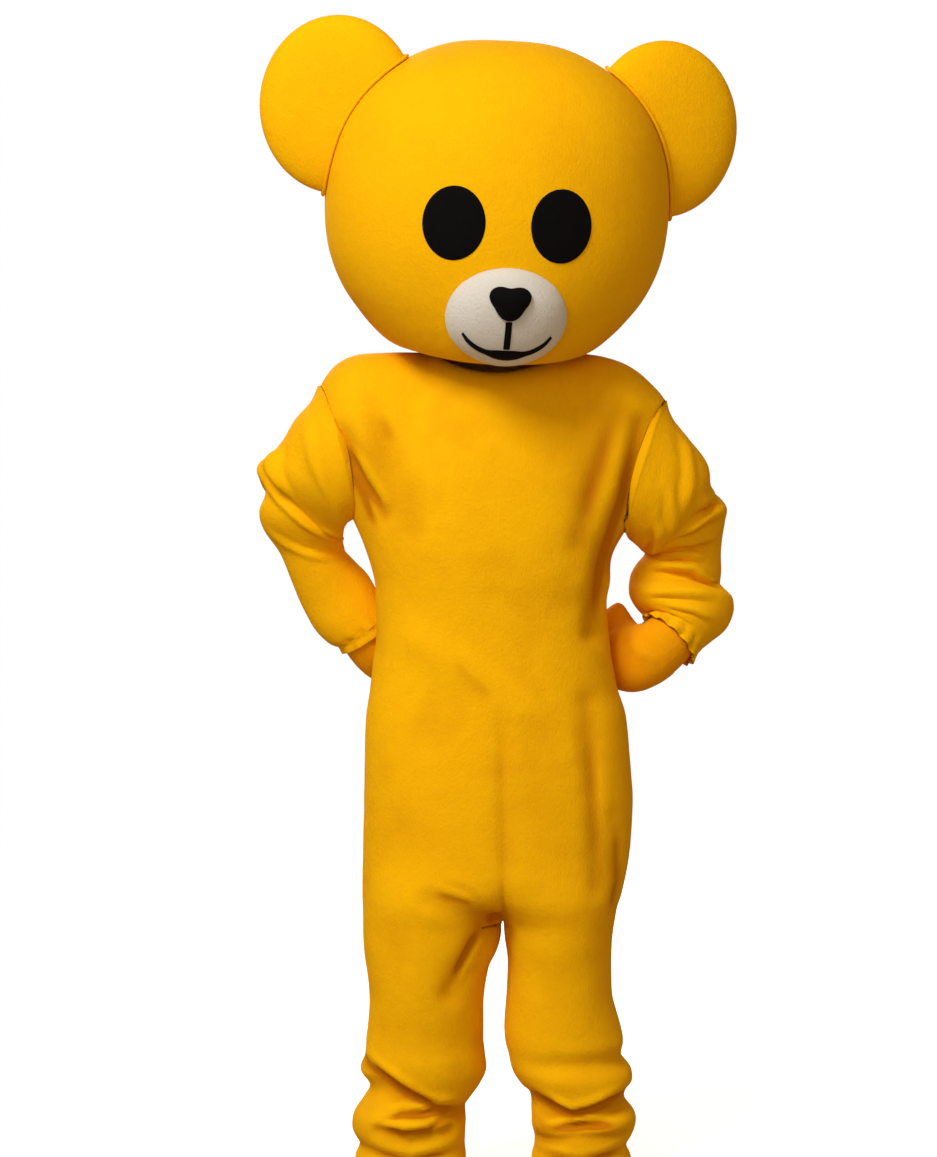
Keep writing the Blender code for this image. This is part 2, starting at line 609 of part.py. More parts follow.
def lay_sleeve(cloth, side):
    rows = [armhole_ring(side)]
    count = 2 * YOKE_ROWS
    for k in range(1, len(SLEEVES[side])):
        row = []
        for r in range(count):
            place = sleeve_point(side, k, 2 * math.pi * r / count)
            row.append(cloth.point(("sleeve", side, k, r), place))
        rows.append(row)
    for near, far in zip(rows, rows[1:]):
        for r in range(count):
            after = (r + 1) % count
            corners = (near[r], far[r], far[after], near[after])
            cloth.face(f"sleeve_{SIDE_NAMES[side]}", corners, flip=side == LEFT)


def wrist(side):
    """Middle of the sleeve's end and the way it points."""
    outer_x, outer_z, inner_x, inner_z, y = SLEEVES[side][-1][:5]
    return Vector(((outer_x + inner_x) / 2, y, (outer_z + inner_z) / 2)), WRIST_WAY[side].normalized()


# Cuffs and mitts

def tube_frame(tangent):
    up = Vector((0.0, 0.0, 1.0))
    up = (up - tangent * up.dot(tangent)).normalized()
    return up, tangent.cross(up)


def lay_tube(cloth, panel, rings, tip=None):
    """Loft named rings into faces that look outwards, with a closing point if a tip is given."""
    count = len(rings[0])
    for near, far in zip(rings, rings[1:]):
        for r in range(count):
            after = (r + 1) % count
            cloth.face(panel, (near[r], far[r], far[after], near[after]), flip=True)
    if tip:
        for r in range(count):
            cloth.face(panel, (rings[-1][r], tip, rings[-1][(r + 1) % count]), flip=True)


def build_cuff(side, material, collection):
    """A gathered ring past the elastic, its waves growing to the free edge."""
    cloth = Cloth()
    panel = f"cuff_{SIDE_NAMES[side]}"
    end, tangent = wrist(side)
    up, across = tube_frame(tangent)
    count = 4 * CUFF_WAVES
    rings = []
    for k, (share, growth, wave) in enumerate(CUFF_RINGS[side]):
        centre = end + tangent * (2 * SEAM_INSET + share * CUFF_LENGTH)
        ring = []
        for r in range(count):
            angle = 2 * math.pi * r / count
            radius = CUFF_RADIUS + growth + wave * math.cos(CUFF_WAVES * angle)
            place = centre + (up * math.cos(angle) + across * math.sin(angle)) * radius
            ring.append(cloth.point((k, r), place))
        rings.append(ring)
    lay_tube(cloth, panel, rings)
    cloth.settle()
    return cloth.solid(panel, CUFF_WALL, material, collection)


def build_mitt(side, material, collection):
    """A fingerless mitt round the hip: open at the wrist, a thumb swelling out of its upper edge."""
    cloth = Cloth()
    panel = f"mitt_{SIDE_NAMES[side]}"
    end, tangent = wrist(side)
    straight = [(*(end + tangent * distance), MITT_WRIST, MITT_WRIST) for distance in MITT_STARTS]
    line = with_keys(straight + list(MITTS[side]))
    points = [Vector(row[1:4]) for row in line]
    rings = []
    for k, (share, *_, half_width, half_thick) in enumerate(line):
        before, after = points[max(k - 1, 0)], points[min(k + 1, len(points) - 1)]
        up, across = tube_frame(tangent if k < len(straight) else (after - before).normalized())
        thumb = THUMB_HEIGHT * math.exp(-((share - THUMB_PLACE[side]) / THUMB_WIDTH) ** 2)
        ring = []
        for r in range(MITT_SIDES):
            angle = 2 * math.pi * r / MITT_SIDES
            rise = half_width * math.cos(angle) + thumb * power(math.cos(angle), THUMB_POWER)
            place = points[k] + up * rise + across * (half_thick * math.sin(angle))
            ring.append(cloth.point((k, r), place))
        rings.append(ring)
    tip = points[-1] + (points[-1] - points[-2]).normalized() * MITT_TIP
    lay_tube(cloth, panel, rings, tip=cloth.point("tip", tip))
    cloth.settle()
    return cloth.solid(panel, SUIT_WALL, material, collection)


def build_placket(suit, names, material, collection):
    """The lapped closing strip: the back panels' own points by the centre seam, moved out."""
    cloth = Cloth()
    rows = []
    for j in range(len(names[LEFT])):
        seam = suit.places[names[LEFT][j][0]]
        if seam.z < PLACKET_END_Z:
            break
        row = []
        for side, reach in PLACKET_SPOTS:
            next_name = names[side][j][1]
            run = suit.places[next_name] - seam
            share = min(reach * PLACKET_HALF / run.length, 1.0)
            normal = suit.normals[names[LEFT][j][0]].lerp(suit.normals[next_name], share).normalized()
            place = seam + run * share + normal * (PLACKET_LIFT + PLACKET_WALL)
            row.append(cloth.point((j, side, reach), place))
        rows.append(row)
    for above, below in zip(rows, rows[1:]):
        for i in range(len(PLACKET_SPOTS) - 1):
            cloth.face("back_placket", (above[i], above[i + 1], below[i + 1], below[i]))
    cloth.settle()
    return cloth.solid("back_placket", PLACKET_WALL, material, collection)


# Head

HEAD_ROWS = [(float(k), *row) for k, row in enumerate(HEAD)]
HEAD_TURN = (Matrix.Translation(HEAD_PLACE)
             @ Matrix.Rotation(math.radians(HEAD_YAW), 4, "Z")
             @ Matrix.Rotation(math.radians(HEAD_ROLL), 4, "Y")
             @ Matrix.Rotation(math.radians(HEAD_PITCH), 4, "X"))


def saddle(z, sine):
    return RIM_SADDLE * sine ** 2 * min(max(1 - z / SADDLE_HEIGHT, 0.0), 1.0) ** 2


def head_point(side, face, u, level):
    """The head's outer surface, local. u runs from the middle of the face or nape to the side."""
    z, half, front, back = between(HEAD_ROWS, level)
    angle = math.pi / 2 * (1 - u)
    sine = math.sin(angle)
    x = side * half * power(math.cos(angle), 2 / HEAD_POWER)
    y = face * (front if face == FRONT else back) * power(sine, 2 / HEAD_POWER)
    return Vector((x, y, z - saddle(z, sine)))


def build_head(material, collection):
    cloth = Cloth()
    for side in (RIGHT, LEFT):
        for face in (FRONT, BACK):
            rows = []
            for j in range(len(HEAD)):
                row = []
                for i in range(HEAD_COLUMNS + 1):
                    name = (side, face, i, j)
                    if i == 0:
                        name = ("centre", face, j)
                    if i == HEAD_COLUMNS:
                        name = ("side", side, j)
                    if j == 0:
                        name = "crown"
                    place = HEAD_TURN @ head_point(side, face, i / HEAD_COLUMNS, j)
                    row.append(cloth.point(name, place))
                rows.append(row)
            for above, below in zip(rows, rows[1:]):
                for i in range(HEAD_COLUMNS):
                    corners = (above[i], above[i + 1], below[i + 1], below[i])
                    cloth.face(f"head_{panel_name(side, face)}", corners, flip=side * face < 0)
    cloth.settle()
    for side in (RIGHT, LEFT):
        for face in (FRONT, BACK):
            cloth.solid(f"head_{panel_name(side, face)}", HEAD_WALL, material, collection)
    return cloth


def face_front(x, z):
    """The front of the head at a local x and z."""
    height = z
    for _ in range(4):
        level = level_at(height)
        _, half, front, _ = between(HEAD_ROWS, level)
        across = min(abs(x) / half, 0.999)
        sine = math.sqrt(1 - across ** HEAD_POWER)
        height = z + saddle(height, sine)
    depth = front * (1 - across ** HEAD_POWER) ** (1 / HEAD_POWER)
    return Vector((x, -depth, z))


def level_at(z):
    low, high = 0.0, float(len(HEAD) - 2)
    for _ in range(30):
        middle = (low + high) / 2
        if between(HEAD_ROWS, middle)[0] > z:
            low = middle
        else:
            high = middle
    return low


def outward(surface, x, z, step=0.002):
    """Unit normal of a front surface given as a function of x and z."""
    across = surface(x + step, z) - surface(x - step, z)
    upright = surface(x, z + step) - surface(x, z - step)
    return across.cross(upright).normalized()


def build_patch(name, surface, outline, rings, gap, rise, material, collection):
    """A closed patch on a surface: the outline's spokes give its reach, rise(share) its height."""
    sides = len(outline)
    places, polygons = [], []

    def spot(share, r, lift):
        x0, z0, dx, dz = outline[r]
        x, z = x0 + dx * share, z0 + dz * share
        return surface(x, z) + outward(surface, x, z) * lift

    for layer in (0, 1):
        places.append(spot(0.0, 0, gap + (rise(0.0) if layer else 0.0)))
        for share in rings:
            for r in range(sides):
                places.append(spot(share, r, gap + (rise(share) if layer else 0.0)))
    size = 1 + len(rings) * sides

    def at(layer, ring, r):
        return layer * size + 1 + ring * sides + r % sides

    for r in range(sides):
        polygons.append((size, at(1, 0, r), at(1, 0, r + 1)))
        polygons.append((0, at(0, 0, r + 1), at(0, 0, r)))
        for ring in range(len(rings) - 1):
            a, b, c, d = at(1, ring, r), at(1, ring + 1, r), at(1, ring + 1, r + 1), at(1, ring, r + 1)
            polygons.append((a, b, c, d))
            a, b, c, d = at(0, ring, r), at(0, ring + 1, r), at(0, ring + 1, r + 1), at(0, ring, r + 1)
            polygons.append((d, c, b, a))
        last = len(rings) - 1
        polygons.append((at(1, last, r), at(0, last, r), at(0, last, r + 1), at(1, last, r + 1)))
    return add_mesh(name, [HEAD_TURN @ place for place in places], polygons, material, collection)


def oval(x0, z0, half_x, half_z, sides):
    """Spokes of an oval: its middle and the reach of each spoke, counter-clockwise from the front."""
    turns = [2 * math.pi * r / sides for r in range(sides)]
    return [(x0, z0, half_x * math.cos(turn), half_z * math.sin(turn)) for turn in turns]


def nose_outline(sides):
    """Spokes of a rounded triangle that points down, with a soft dip in its upper edge."""
    spokes = []
    for r in range(sides):
        turn = 2 * math.pi * r / sides
        reach = 1 + NOSE_POINTED * math.cos(3 * (turn + math.pi / 2)) - NOSE_NOTCH * power(math.sin(turn), 8)
        reach_x, reach_z = NOSE_HALF_X * reach, NOSE_HALF_Z * reach
        spokes.append((MUZZLE_X, NOSE_Z, reach_x * math.cos(turn), reach_z * math.sin(turn)))
    return spokes


def muzzle_rise(share):
    return MUZZLE_EDGE + MUZZLE_RISE * (1 - min(share, 1.0) ** 2.3) ** 0.55


def muzzle_front(x, z):
    """The front of the muzzle's dome at a local x and z."""
    share = math.hypot((x - MUZZLE_X) / MUZZLE_HALF_X, (z - MUZZLE_Z) / MUZZLE_HALF_Z)
    return face_front(x, z) + outward(face_front, x, z) * (MUZZLE_LIFT + muzzle_rise(share))


def build_strip(name, surface, line, material, collection):
    """A flat felt stroke on a surface. Each row of the line is a middle x, z and a half width x, z."""
    places, polygons = [], []
    edge = MOUTH_WALL * MOUTH_EDGE
    profile = ((-1, MOUTH_LIFT), (0, MOUTH_LIFT), (1, MOUTH_LIFT), (1, edge), (0, MOUTH_WALL), (-1, edge))
    for x, z, wide_x, wide_z in line:
        for shift, lift in profile:
            at_x, at_z = x + shift * wide_x, z + shift * wide_z
            places.append(surface(at_x, at_z) + outward(surface, at_x, at_z) * lift)
    count = len(profile)
    for k in range(len(line) - 1):
        for r in range(count):
            a, b = k * count + r, k * count + (r + 1) % count
            polygons.append((b, a, a + count, b + count))
    last = (len(line) - 1) * count
    polygons.append((0, 1, 4, 5))
    polygons.append((1, 2, 3, 4))
    polygons.append((last + 5, last + 4, last + 1, last))
    polygons.append((last + 4, last + 3, last + 2, last + 1))
    return add_mesh(name, [HEAD_TURN @ place for place in places], polygons, material, collection)


def build_face(white, black, collection):
    felt_rings = (0.5, 1.0)
    for side in (RIGHT, LEFT):
        outline = oval(*EYE_PLACE[side], EYE_HALF_X, EYE_HALF_Z, 28)
        build_patch(f"eye_{SIDE_NAMES[side]}", face_front, outline, felt_rings, LAY_GAP,
                    lambda share: EYE_WALL, black, collection)
    outline = oval(MUZZLE_X, MUZZLE_Z, MUZZLE_HALF_X, MUZZLE_HALF_Z, 28)
    build_patch("muzzle", face_front, outline, (0.3, 0.55, 0.75, 0.88, 0.96, 1.0), MUZZLE_LIFT,
                muzzle_rise, white, collection)
    build_patch("nose", muzzle_front, nose_outline(24), (0.4, 0.75, 1.0), NOSE_LIFT,
                lambda share: NOSE_EDGE + NOSE_RISE * (1 - share ** 2) ** 0.5, black, collection)
    bar = []
    for share in (0, 0.25, 0.5, 0.75, 1):
        bar.append((MUZZLE_X, BAR_TOP + (BAR_BOTTOM - BAR_TOP) * share, BAR_HALF, 0.0))
    build_strip("mouth_bar", muzzle_front, bar[::-1], black, collection)
    smile = []
    for k in range(SMILE_STEPS + 1):
        share = 2 * k / SMILE_STEPS - 1
        height, half = between(SMILE, share)
        wide = Vector((-SMILE_SLOPE * share, 1.0)).normalized() * half
        smile.append((MUZZLE_X + share * SMILE_HALF, height, wide.x, wide.y))
    build_strip("mouth_smile", muzzle_front, smile[::-1], black, collection)


# Ears

def ear_frame(side):
    return Matrix.Translation(EAR_PLACE[side]) @ Matrix.Rotation(math.radians(side * EAR_SWEEP), 4, "Z")


def ear_thickness(share):
    return EAR_HALF[1] * power(1 - share ** EAR_EDGE_POWER, 0.5)


def build_ear(side, cutter, material, collection):
    """A puffed plate with a round edge, cut to the head where it stands on it."""
    bpy.ops.mesh.primitive_uv_sphere_add(segments=22, ring_count=12, radius=1.0)
    ear = bpy.context.object
    ear.name = f"ear_{SIDE_NAMES[side]}"
    ear.data.name = ear.name
    turn = Matrix.Rotation(math.pi / 2, 4, "X")
    for vertex in ear.data.vertices:
        spot = turn @ vertex.co
        share = min(math.hypot(spot.x, spot.z), 1.0)
        y = math.copysign(ear_thickness(share), spot.y) if abs(spot.y) > 1e-6 else 0.0
        vertex.co = HEAD_TURN @ ear_frame(side) @ Vector((spot.x * EAR_HALF[0], y, spot.z * EAR_HALF[2]))
    ear.data.materials.clear()
    ear.data.materials.append(material)
    ear.data.shade_smooth()
    cut = ear.modifiers.new("head_cut", "BOOLEAN")
    cut.operation = "DIFFERENCE"
    cut.object = cutter
    for home in list(ear.users_collection):
        home.objects.unlink(ear)
    collection.objects.link(ear)


def build_cutter(head, collection):
    """The head's closed form, a seam gap larger, that the ears are cut with."""
    names = list(head.places)
    index = {name: k for k, name in enumerate(names)}
    places = [head.places[name] + head.normals[name] * 2 * SEAM_INSET for name in names]
    polygons = []
    for _, corners in head.faces:
        ids = [index[name] for name in corners]
        polygons += [(ids[0], ids[k], ids[k + 1]) for k in range(1, len(ids) - 1)]
    rim = {index[a]: index[b] for a, b in head.border([corners for _, corners in head.faces])}
    loop = [next(iter(rim))]
    while rim[loop[-1]] != loop[0]:
        loop.append(rim[loop[-1]])
    places.append(sum((places[k] for k in loop), Vector()) / len(loop))
    polygons += [(b, a, len(places) - 1) for a, b in zip(loop, loop[1:] + loop[:1])]
    cutter = add_mesh("head_cutter", places, polygons, bpy.data.materials[0], collection)
    cutter.hide_render = True
    cutter.display_type = "WIRE"
    return cutter


def head_side(side, y, z, lift):
    """The side of the head at a local y and z, lifted along its normal."""
    def surface(at_y, at_z):
        _, half, front, back = between(HEAD_ROWS, level_at(at_z))
        depth = front if at_y < 0 else back
        across = min(abs(at_y) / depth, 0.999)
        return Vector((side * half * (1 - across ** HEAD_POWER) ** (1 / HEAD_POWER), at_y, at_z))

    step = 0.002
    normal = (surface(y + step, z) - surface(y - step, z)).cross(surface(y, z + step) - surface(y, z - step))
    return surface(y, z) + normal.normalized() * math.copysign(lift, side * normal.x)


def build_welt(side, material, collection):
    """A cord of cloth sewn in round the foot of the ear."""
    inverse = ear_frame(side).inverted()
    lift = WELT_RADIUS + 2 * LAY_GAP
    clear = WELT_RADIUS + 3 * LAY_GAP

    def inside(place):
        spot = inverse @ place
        share = math.hypot(spot.x / (EAR_HALF[0] + clear), spot.z / (EAR_HALF[2] + clear))
        return share < 1 and abs(spot.y) < (EAR_HALF[1] + clear) * power(1 - share ** EAR_EDGE_POWER, 0.5)

    def spot(share, turn):
        y = EAR_PLACE[side].y + WELT_REACH_Y * share * math.cos(turn)
        return y, EAR_PLACE[side].z - WELT_DROP + WELT_REACH_Z * share * math.sin(turn)

    places = []
    for k in range(WELT_POINTS):
        turn = 2 * math.pi * k / WELT_POINTS
        low, high = 0.0, 1.0
        for _ in range(WELT_HALVINGS):
            share = (low + high) / 2
            y, z = spot(share, turn)
            if z < HEAD[2][0] and inside(head_side(side, y, z, lift)):
                low = share
            else:
                high = share
        places.append(HEAD_TURN @ head_side(side, *spot(low, turn), lift))
    curve = bpy.data.curves.new(f"ear_welt_{SIDE_NAMES[side]}", "CURVE")
    curve.dimensions = "3D"
    curve.bevel_depth = WELT_RADIUS
    curve.bevel_resolution = 1
    spline = curve.splines.new("POLY")
    spline.points.add(len(places) - 1)
    for point, place in zip(spline.points, places):
        point.co = (*place, 1.0)
    spline.use_cyclic_u = True
    curve.materials.append(material)
    welt = bpy.data.objects.new(curve.name, curve)
    collection.objects.link(welt)


def main():
    for thing in list(bpy.data.objects):
        bpy.data.objects.remove(thing, do_unlink=True)
    costume = bpy.data.collections.new("bear_mascot_costume")
    cutters = bpy.data.collections.new("cutters")
    for collection in (costume, cutters):
        bpy.context.scene.collection.children.link(collection)
    fleece = finish_material("yellow_fleece", FLEECE)
    white = finish_material("white_plush", WHITE_PLUSH)
    black = finish_material("black_felt", BLACK_FELT)

    suit = Cloth()
    names = {}
    for side in (RIGHT, LEFT):
        for face in (FRONT, BACK):
            names[side, face] = lay_panel(suit, side, face)
    for side in (RIGHT, LEFT):
        lay_sleeve(suit, side)
    suit.settle()
    suit.push(fold_height)
    for side in (RIGHT, LEFT):
        for face in (FRONT, BACK):
            suit.solid(panel_name(side, face), SUIT_WALL, fleece, costume)
        suit.solid(f"sleeve_{SIDE_NAMES[side]}", SUIT_WALL, fleece, costume)
        build_cuff(side, fleece, costume)
        build_mitt(side, fleece, costume)
    build_placket(suit, {side: names[side, BACK] for side in (RIGHT, LEFT)}, fleece, costume)

    head = build_head(fleece, costume)
    cutter = build_cutter(head, cutters)
    for side in (RIGHT, LEFT):
        build_ear(side, cutter, fleece, costume)
        build_welt(side, fleece, costume)
    build_face(white, black, costume)


main()
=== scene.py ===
"""Looks of the bear mascot costume: fleece suit, mitts and head with felt and plush features.

The shapes come from the same named sizes as the solids, drawn finer, with the small creases,
seams and stitches placed one by one. Metres, +Z up, the face looks along -Y.
"""
import json
import math
from functools import lru_cache

import bpy
import numpy as np
from mathutils import Matrix, Vector, noise

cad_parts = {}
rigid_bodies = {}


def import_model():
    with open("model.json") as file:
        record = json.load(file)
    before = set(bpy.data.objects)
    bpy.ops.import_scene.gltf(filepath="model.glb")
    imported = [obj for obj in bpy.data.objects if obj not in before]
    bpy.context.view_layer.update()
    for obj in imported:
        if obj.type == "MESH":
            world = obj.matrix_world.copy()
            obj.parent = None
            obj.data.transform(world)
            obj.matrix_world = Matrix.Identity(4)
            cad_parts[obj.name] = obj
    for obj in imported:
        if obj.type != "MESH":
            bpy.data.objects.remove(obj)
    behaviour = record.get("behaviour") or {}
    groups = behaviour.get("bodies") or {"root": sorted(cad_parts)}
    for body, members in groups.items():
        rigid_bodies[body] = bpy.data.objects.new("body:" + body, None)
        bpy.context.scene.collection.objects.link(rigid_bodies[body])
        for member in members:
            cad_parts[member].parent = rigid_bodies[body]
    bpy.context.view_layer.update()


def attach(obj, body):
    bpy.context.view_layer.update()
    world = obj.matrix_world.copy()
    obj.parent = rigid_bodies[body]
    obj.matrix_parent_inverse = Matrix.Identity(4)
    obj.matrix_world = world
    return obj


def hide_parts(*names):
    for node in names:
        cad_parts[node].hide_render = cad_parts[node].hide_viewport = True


MM = 0.001
SUIT_WALL = 2.5 * MM
HEAD_WALL = 6 * MM
SEAM_INSET = 0.15 * MM          # used at the cuff, which starts a seam's width past the sleeve
LAY_GAP = 0.35 * MM
RIGHT, LEFT = -1, 1
FRONT, BACK = -1, 1
SIDE_NAMES = {RIGHT: "right", LEFT: "left"}
FACE_NAMES = {FRONT: "front", BACK: "back"}

# How finely the cloth is drawn
FINE_COLUMNS, FINE_NECK = 90, 40        # across a panel, and those of them that end at the neckline
NECK_SHARE = 4 / 9
FINE_YOKE = 60
ROW_STEP = 4.2 * MM
CROTCH_ROWS = 36
SLEEVE_STEPS = 12                       # rows to each sleeve section
HEAD_FINE_COLUMNS, HEAD_STEPS = 56, 7
HEM_Z = -1.185

# Suit: heights and the way it is divided
CROTCH_Z = -0.802
CHEST_Z = -0.232                # the row that joins the two armpits
CROTCH_CURVE = 0.09             # height over which the rise turns under the crotch
SEAM_LEAN = 0.011               # the centre seam is this far over at the crotch
BODY_POWER, LEG_POWER = 2.3, 2.1
NECK_HALF = 0.088
NECK_DEPTH = {FRONT: 0.085, BACK: 0.075}
NECK_DROP = {FRONT: -0.018, BACK: 0.004}
NECK_SIDE_Z = 0.01

# Each shoulder: tip and armpit of the armhole, and how late the shoulder line falls
SHOULDERS = {
    RIGHT: {"tip": (-0.248, 0.0, -0.036), "pit": (-0.203, 0.0, -0.223), "fall": 7.0},
    LEFT: {"tip": (0.24, 0.0, -0.056), "pit": (0.187, 0.0, -0.241), "fall": 3.1},
}
ARMHOLE_DEPTH = 0.078
ARMHOLE_HOLLOW = 0.012
PIT_BLEND = 0.13                # height over which the row of the armpits levels out
PIT_START = 0.3                 # share of a panel's width at which that row starts to tilt
ARMHOLE_START = 0.25            # share of a panel's width at which the yoke starts to turn to the armhole
FOLD_FACING, FOLD_EVEN = 1.4, 0.5           # a fold dies out where the cloth turns away from its side

# Torso sections: height, x at the right side, x at the left side, front depth, back depth
TORSO = (
    (-0.802, -0.189, 0.17, 0.112, 0.112),
    (-0.76, -0.19, 0.182, 0.124, 0.122),
    (-0.696, -0.189, 0.193, 0.129, 0.132),
    (-0.632, -0.187, 0.196, 0.13, 0.135),
    (-0.568, -0.186, 0.192, 0.129, 0.128),
    (-0.504, -0.183, 0.186, 0.125, 0.114),
    (-0.462, -0.1775, 0.173, 0.122, 0.106),
    (-0.398, -0.171, 0.163, 0.12, 0.1),
    (-0.341, -0.17, 0.16, 0.122, 0.103),
    (-0.312, -0.172, 0.165, 0.125, 0.108),
    (-0.27, -0.186, 0.17, 0.127, 0.116),
    (-0.232, -0.203, 0.187, 0.127, 0.12),
)
# Leg sections: height, outer x, inner x, half depth
LEGS = {
    RIGHT: (
        (-1.185, -0.19, -0.048, 0.08),
        (-1.165, -0.196, -0.043, 0.086),
        (-1.143, -0.201, -0.041, 0.09),
        (-1.122, -0.1945, -0.043, 0.083),
        (-1.1, -0.205, -0.042, 0.089),
        (-1.079, -0.203, -0.0395, 0.092),
        (-1.058, -0.19, -0.037, 0.083),
        (-1.037, -0.18, -0.023, 0.08),
        (-1.015, -0.1955, -0.0125, 0.087),
        (-0.994, -0.1917, -0.0128, 0.09),
        (-0.973, -0.186, -0.0156, 0.089),
        (-0.951, -0.182, -0.0156, 0.09),
        (-0.909, -0.18, -0.0156, 0.096),
        (-0.866, -0.1846, -0.0085, 0.102),
        (-0.845, -0.1874, 0.0014, 0.105),
        (-0.824, -0.1889, 0.008, 0.109),
        (-0.802, -0.189, 0.011, 0.112),
    ),
    LEFT: (
        (-1.185, 0.185, 0.06, 0.08),
        (-1.165, 0.191, 0.054, 0.086),
        (-1.143, 0.196, 0.053, 0.09),
        (-1.122, 0.189, 0.057, 0.083),
        (-1.1, 0.2005, 0.053, 0.089),
        (-1.079, 0.2015, 0.053, 0.09),
        (-1.058, 0.19, 0.05, 0.083),
        (-1.037, 0.197, 0.039, 0.088),
        (-1.015, 0.196, 0.0256, 0.09),
        (-0.994, 0.1818, 0.0185, 0.083),
        (-0.973, 0.186, 0.0142, 0.089),
        (-0.951, 0.18, 0.0128, 0.09),
        (-0.909, 0.169, 0.0165, 0.095),
        (-0.866, 0.166, 0.0185, 0.1),
        (-0.845, 0.166, 0.017, 0.104),
        (-0.824, 0.1676, 0.014, 0.109),
        (-0.802, 0.17, 0.011, 0.112),
    ),
}

# The largest folds: the side of the cloth, width, height (a trough is negative), and its line as x, z
FOLDS = {
    "right_armpit_drag": (FRONT, 0.02, -0.007, ((-0.217, -0.114), (-0.158, -0.213))),
    "right_chest_drag": (FRONT, 0.024, -0.005, ((-0.17, -0.062), (-0.148, -0.13), (-0.12, -0.23))),
    "left_armpit_drag": (FRONT, 0.018, -0.009,
                         ((0.206, -0.089), (0.186, -0.18), (0.153, -0.288), (0.138, -0.381))),
    "left_chest_drag": (FRONT, 0.022, -0.005, ((0.173, -0.065), (0.153, -0.116), (0.118, -0.253))),
    "waist_sag": (FRONT, 0.026, 0.005, ((-0.11, -0.392), (-0.04, -0.432), (0.03, -0.484))),
    "left_hip_flute": (FRONT, 0.018, -0.005, ((0.13, -0.48), (0.136, -0.6), (0.145, -0.735))),
    "left_thigh_flute": (FRONT, 0.014, -0.003, ((0.166, -0.64), (0.17, -0.72), (0.172, -0.775))),
    "centre_seam_pull": (FRONT, 0.018, -0.0025, ((0.01, -0.511), (0.011, -0.775))),
    "right_crotch_drag": (FRONT, 0.018, -0.008, ((-0.006, -0.792), (-0.03, -0.83), (-0.064, -0.8875))),
    "right_rise_drag": (FRONT, 0.016, -0.006, ((-0.092, -0.753), (-0.021, -0.778))),
    "right_shin_break": (FRONT, 0.012, -0.01,
                         ((-0.19, -1.005), (-0.1335, -1.039), (-0.087, -1.066), (-0.045, -1.072))),
    "right_shin_tuck": (FRONT, 0.009, -0.008, ((-0.168, -1.088), (-0.12, -1.102), (-0.06, -1.09))),
    "left_shin_break": (FRONT, 0.012, -0.01,
                        ((0.05, -1.048), (0.087, -1.068), (0.111, -1.078), (0.15, -1.067),
                         (0.195, -1.047))),
    "left_shin_tuck": (FRONT, 0.009, -0.007, ((0.06, -1.108), (0.11, -1.096), (0.19, -1.097))),
    "right_seat_drag": (BACK, 0.022, -0.008, ((-0.15, -0.69), (-0.07, -0.745), (-0.01, -0.77))),
    "left_seat_drag": (BACK, 0.022, -0.007, ((0.15, -0.7), (0.085, -0.748), (0.025, -0.775))),
    "small_of_back_right": (BACK, 0.024, -0.006, ((-0.15, -0.395), (-0.08, -0.43), (-0.02, -0.432))),
    "small_of_back_left": (BACK, 0.024, -0.006, ((0.14, -0.42), (0.08, -0.398), (0.02, -0.4))),
    "right_knee_back": (BACK, 0.014, -0.009, ((-0.185, -0.985), (-0.11, -1.01), (-0.03, -0.995))),
    "left_knee_back": (BACK, 0.014, -0.009, ((0.18, -0.975), (0.105, -1.002), (0.03, -0.99))),
    "right_blade_drag": (BACK, 0.022, -0.007, ((-0.195, -0.11), (-0.16, -0.2), (-0.135, -0.3))),
    "left_blade_drag": (BACK, 0.022, -0.007, ((0.19, -0.12), (0.155, -0.21), (0.13, -0.31))),
}

